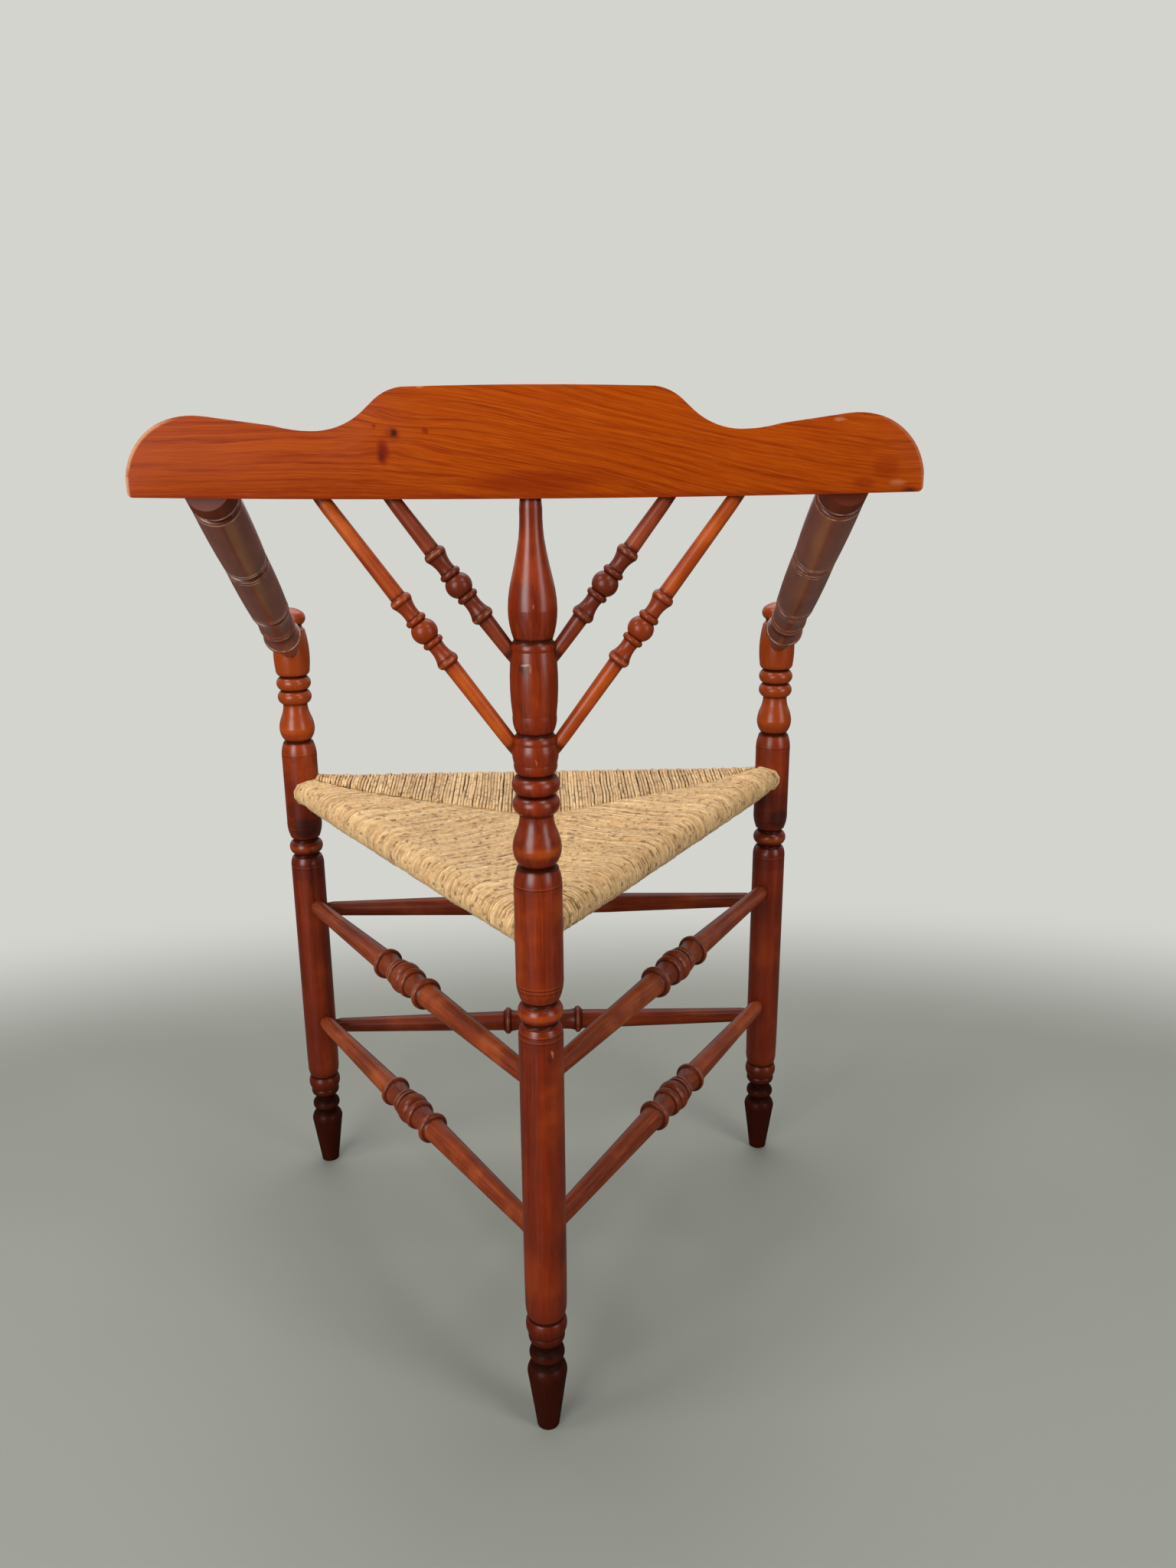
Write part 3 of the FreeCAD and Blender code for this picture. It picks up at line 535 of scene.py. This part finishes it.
posts = {
    "all": {
        # hollows and seams darkened by grime and by painted shade
        "grimeAndShade": [(0.055, 0.118, 0.0122, 0.0142), (0.35, 0.39, 0.012, 0.0134), (0.476, 0.5, 0.012, 0.0132)],
        # crowns lighter from wear and painted highlight
        "wearAndHighlight": [(0.06, 0.08, 0.0135, 0.0145), (0.362, 0.375, 0.0158, 0.0166),
                 (0.484, 0.505, 0.0165, 0.0173)],
        "seams": [(0.3602, 0.0034, 0.8), (0.3763, 0.0034, 0.8), (0.4797, 0.004, 1.0), (0.5173, 0.0024, 0.6),
                  (0.5312, 0.0024, 0.9), (0.5451, 0.0026, 1.0), (0.1053, 0.0026, 0.9), (0.0625, 0.002, 0.9),
                  (0.0775, 0.002, 0.8)],
        "foot": (0.125, 0.07), "darkening": (0.4, 0.12),
    },
    "front": {"lighter": (0.46, 0.5), "seams": [(0.5953, 0.003, 0.9)], "scribes": [0.347, 0.3885, 0.466]},
    # the shade just below the seat on each post is painted shade under the seat
    "left": {
        "shade": [(0.335, 0.4, 0.6)],
        "spots": [((0.236, -0.172, 0.392), (0.014, 0.02, 0.016), "grimeAndShade", 0.75),
                  ((0.233, -0.172, 0.335), (0.002, 0.02, 0.05), "grimeAndShade", 0.6),
                  ((0.24, -0.172, 0.41), (0.03, 0.03, 0.012), "deep", 0.7)],
    },
    "right": {
        "shade": [(0.335, 0.4, 0.55)],
        "spots": [((-0.246, -0.172, 0.392), (0.014, 0.02, 0.014), "grimeAndShade", 0.65),
                  ((-0.24, -0.172, 0.41), (0.03, 0.03, 0.012), "deep", 0.7)],
    },
    "rear": {
        "shade": [(0.342, 0.354, 0.35), (0.462, 0.5, 0.25)],
        "seams": [(0.5738, 0.003, 1.0), (0.6368, 0.003, 1.0), (0.727, 0.003, 0.9)],
        "scribes": [0.3485, 0.3525, 0.3875, 0.3905, 0.466],
        "spots": [((0.0066, 0.204, 0.6205), (0.005, 0.01, 0.0065), "grimeAndShade", 0.6),
                  ((0.0056, 0.204, 0.6222), (0.0045, 0.01, 0.001), "pale", 0.45),
                  ((0.0025, 0.204, 0.6195), (0.0009, 0.01, 0.003), "pale", 0.25),
                  ((-0.0008, 0.203, 0.6605), (0.0007, 0.01, 0.0022), "pale", 0.28),
                  ((0.0, 0.204, 0.557), (0.0006, 0.01, 0.003), "pale", 0.25),
                  ((-0.0075, 0.203, 0.3395), (0.0008, 0.01, 0.0045), "pale", 0.5),
                  ((-0.006, 0.203, 0.3375), (0.0022, 0.01, 0.006), "grimeAndShade", 0.35)],
    },
}

for corner, place in corners.items():
    inFront = corner != "rear"
    node = "front_post_" + corner if inFront else "rear_post"
    own = {**posts["front"], **posts[corner]} if inFront else posts["rear"]
    shape = {**posts["all"], **own, "seams": posts["all"]["seams"] + own["seams"]}
    dress(node, turnedFinish(node + "Wood", "posts", place, at(corner, 1), shape))


# Rungs

rungs = {
    "upperSide": 0.3085, "lowerSide": 0.1765, "upperFront": 0.2975, "lowerFront": 0.1625, "stagger": 0.003,
    "bobbin": 0.043,  # half the turned middle, with its dark lines and its rubbed crowns with painted highlights measured from its start
    "lines": (0.0015, 0.0085, 0.02475, 0.02975, 0.03475, 0.04975, 0.05925, 0.0775, 0.0845),
    "crowns": (0.00525, 0.0272, 0.0322, 0.08075),
}


def rungFinish(node, first, second, height, wood, turnedMiddle=True):
    start, end = at(first, height), at(second, height)
    centre = (end - start).length / 2
    low, high = centre - rungs["bobbin"], centre + rungs["bobbin"]
    middleMarks = {
        "rubbedAndHighlit": [low + reach for reach in rungs["crowns"]], "rubbing": 0.4,
        "shade": [(low, high, 0.5)],
        "seams": [(low + reach, 0.0016, 0.7) for reach in rungs["lines"]],
    }
    shape = middleMarks if turnedMiddle else {}
    dress(node, turnedFinish(node + "Wood", wood, start, end, shape))


for corner, sign in (("left", -1), ("right", 1)):
    for level in ("upper", "lower"):
        height = rungs[level + "Side"] + rungs["stagger"] * sign
        rungFinish("side_rung_" + level + "_" + corner, corner, "rear", height, "rungs")
rungFinish("front_rung_upper", "left", "right", rungs["upperFront"], "shadedRungs", turnedMiddle=False)
rungFinish("front_rung_lower", "left", "right", rungs["lowerFront"], "shadedRungs")


# Spindles

spindles = {
    "inner": {"offset": 0.0876, "crestBack": 0.1864, "low": 0.6283, "middle": 0.0677},
    "outer": {"offset": 0.132, "crestBack": 0.1842, "low": 0.5653, "middle": 0.104},
    "barrel": 0.0148, "crest": 0.727,
    "half": 0.02775,  # half the turned middle, with its dark lines measured from its start
    "lines": (0, 0.0055, 0.0165, 0.021, 0.0345, 0.039, 0.05, 0.0555), "crown": 0.0028,
}

for corner, sign in (("left", 1), ("right", -1)):
    for row in ("inner", "outer"):
        own = spindles[row]
        start = Vector((own["offset"] * sign, own["crestBack"], spindles["crest"]))
        end = Vector((spindles["barrel"] * sign, corners["rear"].y, own["low"]))
        low, high = own["middle"] - spindles["half"], own["middle"] + spindles["half"]
        name = "back_spindle_" + row + "_" + corner
        dress(name, turnedFinish(name + "Wood", row, start, end, {
            "shade": [(low - 0.002, high + 0.002, 0.75)],
            "rubbedAndHighlit": [low + spindles["crown"], high - spindles["crown"]], "rubbing": 0.4,
            "seams": [((end - start).length, 0.005, 0.8), (0.0, 0.005, 0.7)]
            + [(low + reach, 0.0012, 0.65) for reach in spindles["lines"]]}))


# Arms and seat rails

arms = {
    "crest": (0.208, 0.1701, 0.738), "barrel": (0.24, -0.1885, 0.5668),
    # hollows and seams darkened by grime and by painted shade
    "grimeAndShade": [(0.02, 0.26, 0.0135, 0.0152), (0.293, 0.36, 0.012, 0.0148)],
    # edges lighter from rubbing and painted highlight
    "rubbedAndHighlit": [0.0235, 0.0335, 0.1335, 0.1375, 0.1466, 0.1515, 0.2478, 0.252, 0.261, 0.2668, 0.2955, 0.3035,
               0.3345, 0.3435],
    "scribes": [0.0205, 0.1308, 0.1495, 0.2695, 0.2795, 0.2885],
    "seams": [(0.0285, 0.0046, 1.0), (0.142, 0.0046, 1.0), (0.2565, 0.0046, 1.0), (0.3465, 0.004, 1.0),
              (0.3095, 0.002, 0.9), (0.2975, 0.0014, 0.8)],
    # the first shade, at the crest end, is painted shadow of the crest board
    "shade": [(-0.02, 0.026, 0.8), (0.258, 0.3, 0.3)], "dullEnd": (0.02, 0.03),
}

for corner, sign in (("left", 1), ("right", -1)):
    flip = Vector((sign, 1, 1))
    start, end = Vector(arms["crest"]) * flip, Vector(arms["barrel"]) * flip
    dress("arm_" + corner, turnedFinish("arm_" + corner + "Wood", "arms", start, end, arms))

for side, first, second in (("left", "left", "rear"), ("right", "right", "rear"), ("front", "left", "right")):
    node = "seat_rail_" + side
    height = seatLevel + railStep[side]
    dress(node, turnedFinish(node + "Wood", "rails", at(first, height), at(second, height), {}))
print("turned wood finished")


# Crest board, with its edges rounded by wear

crest = {
    # how far each edge is rounded, the angle from which it is one, and up to which faces flow together
    "edge": 0.0019, "sharp": 35, "smooth": 40,
    "flat": 0.6,  # faces that meet at a smaller angle than this are joined first
    "endWearAndHighlight": (0.19, 0.24),  # the places along the board between which the wear and painted highlight of the edges grow
    "armOffset": 0.208, "armHeight": 0.738, "armReach": 0.0185, "face": 0.181,
    "holes": (0.0, 0.0876, 0.132), "holeReach": (0.0085, 0.0078), "holeTop": 0.75,
    "bend": 2.3075, "bendBehind": 2.119, "back": 0.19, "bottom": 0.7285,
    "deep": paint(112, 30, 2), "body": paint(150, 60, 2), "warm": paint(174, 84, 16),
    "red": paint(108, 26, 4), "pale": paint(196, 150, 116), "pinkSheen": paint(160, 84, 60),
    "grimeAndShade": paint(56, 21, 10),
    # cells of each cloud in a metre, along the board, through it and across the grain
    "wander": (7, 7, 20), "streak": (9, 30, 480), "fibre": (50, 160, 1700), "broad": (3.2, 0, 44),
    "wanderReach": 0.012,
    "knot": (0.0833, 0.7667), "knotReach": (0.05, 1, 0.016), "sweep": (0.11, -0.25, 0.06),
    "endTurn": (0.2115, 0.735), "endRadius": 0.0427,  # the rounding of each end, which is worn and painted with sheen along its rim
    "spots": [  # centre, reach, tone, strength
        ((0.0842, 0.7662), (0.007, 0.0055), "red", 0.6), ((0.0833, 0.7667), (0.0036, 0.003), "grimeAndShade", 0.95),
        ((0.0904, 0.7555), (0.0056, 0.0105), "red", 1.0), ((0.0912, 0.7535), (0.0026, 0.006), "grimeAndShade", 0.45),
        ((0.064, 0.7684), (0.003, 0.003), "red", 0.75), ((0.0955, 0.7715), (0.0022, 0.0022), "red", 0.7),
        ((-0.2443, 0.7281), (0.0075, 0.0055), "grimeAndShade", 1.0),
        ((-0.235, 0.7275), (0.014, 0.0025), "grimeAndShade", 0.7),
        ((-0.2135, 0.7345), (0.01, 0.006), "red", 0.5), ((-0.228, 0.744), (0.014, 0.01), "red", 0.45),
        ((-0.236, 0.735), (0.008, 0.003), "pale", 0.15), ((-0.002, 0.737), (0.056, 0.01), "red", 0.6),
        ((-0.172, 0.7745), (0.012, 0.0016), "pale", 0.25), ((-0.196, 0.774), (0.006, 0.0018), "pale", 0.25),
        ((0.0655, 0.7945), (0.003, 0.0012), "pale", 0.35),
    ],
}


def crestFinish():
    finish = Finish("crestWood", {"Coat Weight": 0.05, "Coat Roughness": 0.3, "Specular IOR Level": 0.02})
    spot = finish.place()
    x, y, z = finish.split(spot)

    # the grain lies along the board, sinks towards one end and bends round the knot
    wander = finish.cloud(finish.stretch(spot, *crest["wander"]), detail=2) - 0.5
    first, last, drop = crest["sweep"]
    knotX, knotZ = crest["knot"]
    byKnot = finish.blob(spot, (knotX, crest["back"], knotZ), crest["knotReach"], 0.0)
    lie = z + x.ramp(first, last) * drop + wander * crest["wanderReach"] + (z - knotZ) * byKnot * 0.9
    lying = finish.join(x, y, lie)
    streak = finish.cloud(finish.stretch(lying, *crest["streak"]), detail=5, rough=0.62, bend=0.2)
    fibre = finish.cloud(finish.stretch(lying, *crest["fibre"]), detail=3, rough=0.6)
    broad = finish.cloud(finish.shift(finish.stretch(lying, *crest["broad"]), 0, 4, 0), detail=2)
    colour = finish.mix(streak.ramp(0.24, 0.66), crest["deep"], crest["body"])
    colour = finish.mix(broad.ramp(0.52, 0.76) * 0.34, colour, crest["red"])
    colour = finish.mix(fibre.ramp(0.42, 0.78) * 0.5, colour, crest["warm"])
    colour = finish.mix(x.ramp(0.02, 0.25) * 0.22, colour, crest["deep"])
    # painted sheen: the left end made pinker
    colour = finish.mix(x.ramp(0.222, 0.25) * 0.1, colour, crest["pinkSheen"])

    ragged = finish.stray(spot, 130, 0.005, 0.0, 0.003)
    for (spotX, spotZ), (reachX, reachZ), tone, strength in crest["spots"]:
        mark = finish.blob(ragged, (spotX, crest["back"], spotZ), (reachX, 1, reachZ), 0.3)
        colour = finish.mix(mark * strength, colour, crest[tone])

    # lacquer worn off the edges and off the rim of each end, with painted highlight on the edges and painted
    # sheen on the rim, and painted shade making the lower edge dark
    rough = finish.cloud(finish.stretch(spot, 90, 90, 90), detail=4, rough=0.65)
    turnX, turnZ = crest["endTurn"]
    fromTurn = finish.length(finish.join(abs(x) - turnX, 0.0, z - turnZ))
    rim = fromTurn.ramp(crest["endRadius"] - 0.003, crest["endRadius"] - 0.001) * abs(x).ramp(0.212, 0.235)
    rimWearAndSheen = rim * rough.ramp(0.2, 0.5) * (0.3 + x.ramp(0.1, 0.2) * 0.6)
    wornAndHighlit = finish.attribute("crestWearAndHighlight") * rough.ramp(0.36, 0.6) + rimWearAndSheen
    colour = finish.mix(wornAndHighlit.ramp(0.0, 1.0) * 0.7, colour, crest["pale"])
    # painted shade along the board's lower edge
    colour = finish.mix(z.ramp(crest["bottom"] + 0.003, crest["bottom"]) * 0.5, colour, crest["red"])
    finish.colour(colour)
    finish.roughness(0.5 + fibre * 0.15)
    finish.bump(streak * 0.3 + fibre * 0.3, 0.00016, 0.5)
    return finish


def byHole(vert):
    # whether a point lies at the mouth of a socket, where the edge stays as it is
    spot = vert.co
    fromArm = math.hypot(abs(spot.x) - crest["armOffset"], spot.z - crest["armHeight"])
    if fromArm < crest["armReach"] and spot.y < crest["face"]:
        return True
    reachX, reachY = crest["holeReach"]
    fromMiddle = abs(spot.y - math.sqrt(crest["bend"] ** 2 - spot.x ** 2) + crest["bendBehind"])
    overHole = any(abs(abs(spot.x) - hole) < reachX for hole in crest["holes"])
    return overHole and spot.z < crest["holeTop"] and fromMiddle < reachY


def makeCrest():
    shell = bmesh.new()
    shell.from_mesh(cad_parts["crest_rail"].data)
    bmesh.ops.remove_doubles(shell, verts=shell.verts, dist=1e-6)
    bmesh.ops.dissolve_limit(shell, angle_limit=math.radians(crest["flat"]), verts=shell.verts,
                             edges=shell.edges)
    sharp = [edge for edge in shell.edges
             if len(edge.link_faces) == 2 and edge.calc_face_angle() > math.radians(crest["sharp"])
             and not any(byHole(vert) for vert in edge.verts)]
    bmesh.ops.bevel(shell, geom=sharp, affect="EDGES", offset=crest["edge"], offset_type="OFFSET", segments=3,
                    profile=0.5, material=-1, clamp_overlap=True)
    wornAndHighlit = shell.verts.layers.float.new("crestWearAndHighlight")
    fadeStart, fadeFull = crest["endWearAndHighlight"]
    for vert in shell.verts:
        # only points inside the rounding are worn and painted with a highlight, most of all round the two
        # ends
        narrow = [face.calc_area() < max(edge.calc_length() for edge in face.edges) * crest["edge"] * 0.6
                  for face in vert.link_faces]
        ends = min(1, max(0, (abs(vert.co.x) - fadeStart) / (fadeFull - fadeStart)))
        vert[wornAndHighlit] = (0.5 + 0.5 * ends) * all(narrow) * (vert.co.z > crest["bottom"])
    mesh = bpy.data.meshes.new("crestBoard")
    shell.to_mesh(mesh)
    shell.free()
    for face in mesh.polygons:
        face.use_smooth = True
    mesh.set_sharp_from_angle(angle=math.radians(crest["smooth"]))
    board = bpy.data.objects.new("crestBoard", mesh)
    scene.collection.objects.link(board)
    mesh.materials.append(crestFinish().material)
    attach(board, "root")
    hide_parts("crest_rail")


makeCrest()
print("crest board made")


# Rush seat: strands wound over the rails, in three panels that meet in seams from the posts to the middle

seat = {
    "rollMiddle": 0.014, "rollEnd": 0.013,  # radius of the roll over a rail, halfway along it and by a post
    "web": 0.0098, "fall": 0.045,  # the flat part: half its thickness, and the way down to it from the roll
    "seamDip": 0.0032, "dipFrom": 0.72,  # how deep the seams lie, and the share of the way at which it starts
    "leastReach": 0.004,
    "cornerLift": 0.0022, "cornerReach": 0.05,
    "pitch": 0.003, "strand": 0.0015, "fromPost": 0.0125, "postRoom": 0.0176,
    # how uneven the strands are: shares of their radius and pitch, then metres
    "thickSpread": (0.86, 1.06), "pitchSpread": (0.86, 1.14),
    "lump": 0.0009, "drift": 0.0011, "lift": 0.00025, "sway": 0.0002, "jitter": 0.0002, "bob": 0.00018,
    "lumpCells": 65, "driftCells": (55, 38), "panelApart": 900,
    "below": (0.98, 0.6, 0.28), "round": (-90, -128, -165, 165, 128, 90),
    "above": (0.12, 0.3, 0.5, 0.72, 0.9, 1.0),
    "shades": [(0.0, paint(96, 68, 42)), (0.16, paint(150, 112, 70)), (0.4, paint(186, 148, 98)),
               (0.7, paint(212, 177, 126)), (1.0, paint(232, 206, 160))],
    "fleckAndCrevice": paint(112, 76, 44), "amber": paint(196, 136, 78),
    # cells of each cloud in a metre of strand, then from one tone of strand to another, and the cloud's layer
    "fibreCells": (55, 400, 0.0), "streakCells": (190, 700, 9.0), "fleckAndCreviceCells": (150, 900, 3.0),
    "twist": 700,
}


def strandProfile(depth, roll, web):
    # one turn, from the seam below round the rail's outer side to the seam above, as (inward, height)
    profile = []
    for share in seat["below"]:
        inward = max(depth * share, seat["leastReach"])
        fall = max(0.0, 1 - inward / seat["fall"])
        profile.append((inward, -web - (roll - web) * fall ** 2 * (1 + 0.5 * fall) / 1.5))
    for angle in seat["round"]:
        profile.append((roll * math.cos(math.radians(angle)), roll * math.sin(math.radians(angle))))
    for share in seat["above"]:
        inward = depth * share
        fall = max(0.0, 1 - inward / seat["fall"])
        height = web + (roll - web) * fall ** 2 * (3 - 2 * fall)
        height -= seat["seamDip"] * max(0, (share - seat["dipFrom"]) / (1 - seat["dipFrom"])) ** 2
        profile.append((inward, height))
    return profile


def windPanel(first, second, rise, chance, strands):
    # the strands over the rail from the first corner to the second, each as (points, radius, tone)
    start, end = corners[first], corners[second]
    way = (end - start).normalized()
    length = (end - start).length
    inward = (middle - start) - way * (middle - start).dot(way)
    inward.normalize()
    firstReach = (middle - start).dot(way)
    panel = rise * seat["panelApart"]
    driftAlong, driftInward = seat["driftCells"]
    station = seat["fromPost"]
    while station < length - seat["fromPost"]:
        depth = min(station / firstReach, (length - station) / (length - firstReach), 1.0) * inwardReach
        nearEnd = min(station, length - station) / length
        rollRadius = seat["rollEnd"] + (seat["rollMiddle"] - seat["rollEnd"]) * min(1, nearEnd * 4) ** 0.7
        rollRadius -= seat["lump"] * (1 + noise.noise(Vector((station * seat["lumpCells"], panel, 3)))) * 0.5
        thick = seat["strand"] * chance.uniform(*seat["thickSpread"])
        lift = chance.gauss(0, seat["lift"])
        sway = chance.gauss(0, seat["sway"])
        # the seat climbs a little at the two front posts
        corner = max(0, 1 - station / seat["cornerReach"])
        if second != "rear":
            corner = max(corner, 1 - (length - station) / seat["cornerReach"])
        points = []
        for reach, height in strandProfile(depth, rollRadius - thick, seat["web"] - thick):
            level = seatLevel + rise * max(0, 1 - reach / inwardReach)
            drift = 0
            if reach > 0:
                drift = noise.noise(Vector((station * driftAlong, reach * driftInward, 7 + panel)))
                drift *= seat["drift"]
            jitter = chance.gauss(0, seat["jitter"])
            spot = start + way * (station + sway + drift + jitter) + inward * reach
            for post in (start, end):
                away = Vector((spot.x - post.x, spot.y - post.y, 0))
                if away.length < seat["postRoom"] + thick:
                    spot += away.normalized() * (seat["postRoom"] + thick - away.length)
            raised = seat["cornerLift"] * corner * max(0, 1 - max(reach, 0) / seat["cornerReach"])
            lifted = lift if height > 0 else 0
            spot.z = level + height + raised + lifted + chance.gauss(0, seat["bob"])
            points.append(tuple(spot))
        strands.append((points, thick / seat["strand"], chance.random()))
        station += seat["pitch"] * chance.uniform(*seat["pitchSpread"])


def rushFinish():
    finish = Finish("rushStraw", {"Specular IOR Level": 0.3, "Sheen Weight": 0.15, "Sheen Roughness": 0.5})
    patch = finish.cloud(finish.place(), 34, 3, 0.6)
    tone = finish.attribute("strandTone")
    run = finish.attribute("strandRun")

    def strandCloud(cells, detail, rough):
        along, across, layer = seat[cells]
        return finish.cloud(finish.join(run * along, tone * across, layer), 1, detail, rough)

    fibre = strandCloud("fibreCells", 4, 0.7)
    streak = strandCloud("streakCells", 3, 0.6)
    fleckAndCrevice = strandCloud("fleckAndCreviceCells", 2, 0.5)
    shade = tone * 0.3 + patch * 0.3 + fibre * 0.85 + streak * 1.05 - 0.74
    colour = finish.gradient(shade, seat["shades"])
    # dark dashes along the strands: flecks in the rush and painted shade of the crevices between strands
    colour = finish.mix(fleckAndCrevice.ramp(0.57, 0.67) * 0.75, colour, seat["fleckAndCrevice"])
    colour = finish.mix(patch.ramp(0.56, 0.7) * 0.3, colour, seat["amber"])
    finish.colour(colour)
    finish.roughness(0.62 + fibre * 0.2)
    twist = (run * seat["twist"]).sine()
    finish.bump(twist * 0.2 + fibre, 0.0005, 0.7)
    return finish


def strandMesh(strands):
    # round strands along all the lines, as one mesh
    line = bpy.data.curves.new("rushLine", "CURVE")
    line.dimensions = "3D"
    line.bevel_depth = seat["strand"]
    line.bevel_resolution = 1
    for points, thick, _ in strands:
        spline = line.splines.new("POLY")
        spline.points.add(len(points) - 1)
        for point, spot in zip(spline.points, points):
            point.co = (*spot, 1)
            point.radius = thick
    holder = bpy.data.objects.new("rushLine", line)
    scene.collection.objects.link(holder)
    bpy.context.view_layer.update()
    mesh = bpy.data.meshes.new_from_object(holder.evaluated_get(bpy.context.evaluated_depsgraph_get()))
    bpy.data.objects.remove(holder)
    mesh.name = "rushSeat"
    return mesh


def makeRush():
    chance = random.Random(20)
    strands = []
    windPanel("left", "right", railStep["front"], chance, strands)
    windPanel("left", "rear", railStep["left"], chance, strands)
    windPanel("right", "rear", railStep["right"], chance, strands)
    mesh = strandMesh(strands)
    sides = len(mesh.vertices) // sum(len(points) for points, _, _ in strands)

    # each point carries its strand's tone and how far along the strand it lies
    tones, runs = [], []
    for points, _, tone in strands:
        run = tone * 3
        for index, spot in enumerate(points):
            if index:
                run += (Vector(spot) - Vector(points[index - 1])).length
            tones += [tone] * sides
            runs += [run] * sides
    for name, values in (("strandTone", tones), ("strandRun", runs)):
        mesh.attributes.new(name, "FLOAT", "POINT").data.foreach_set("value", values)

    shell = bmesh.new()
    shell.from_mesh(mesh)
    bmesh.ops.holes_fill(shell, edges=[edge for edge in shell.edges if edge.is_boundary], sides=sides)
    for face in shell.faces:
        face.smooth = len(face.verts) == 4
    shell.to_mesh(mesh)
    shell.free()
    mesh.materials.clear()
    mesh.materials.append(rushFinish().material)
    seatPiece = bpy.data.objects.new("rushSeat", mesh)
    scene.collection.objects.link(seatPiece)
    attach(seatPiece, "root")
    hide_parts("rush_seat")
    print("rush strands:", len(strands), "faces:", len(mesh.polygons))


stuffing = {
    "low": 0.006, "thick": 0.0115, "inset": 0.05,
    "dark": paint(60, 44, 28), "light": paint(120, 90, 56),
}


def makeStuffing():
    # the dark straw inside, seen only between strands
    shell = bmesh.new()
    outline = []
    for corner in ("left", "right", "rear"):
        spot = corners[corner] + (middle - corners[corner]) * stuffing["inset"]
        outline.append(shell.verts.new((spot.x, spot.y, seatLevel - stuffing["low"])))
    base = shell.faces.new(outline)
    raised = bmesh.ops.extrude_face_region(shell, geom=[base])
    upper = [part for part in raised["geom"] if isinstance(part, bmesh.types.BMVert)]
    bmesh.ops.translate(shell, vec=(0, 0, stuffing["thick"]), verts=upper)
    bmesh.ops.recalc_face_normals(shell, faces=shell.faces)
    mesh = bpy.data.meshes.new("seatStuffing")
    shell.to_mesh(mesh)
    shell.free()
    finish = Finish("stuffingStraw", {"Roughness": 0.8})
    straw = finish.cloud(finish.stretch(finish.place(), 300, 60, 60), detail=4)
    finish.colour(finish.mix(straw, stuffing["dark"], stuffing["light"]))
    finish.bump(straw, 0.001)
    mesh.materials.append(finish.material)
    piece = bpy.data.objects.new("seatStuffing", mesh)
    scene.collection.objects.link(piece)
    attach(piece, "root")


makeRush()
makeStuffing()
print("seat woven")
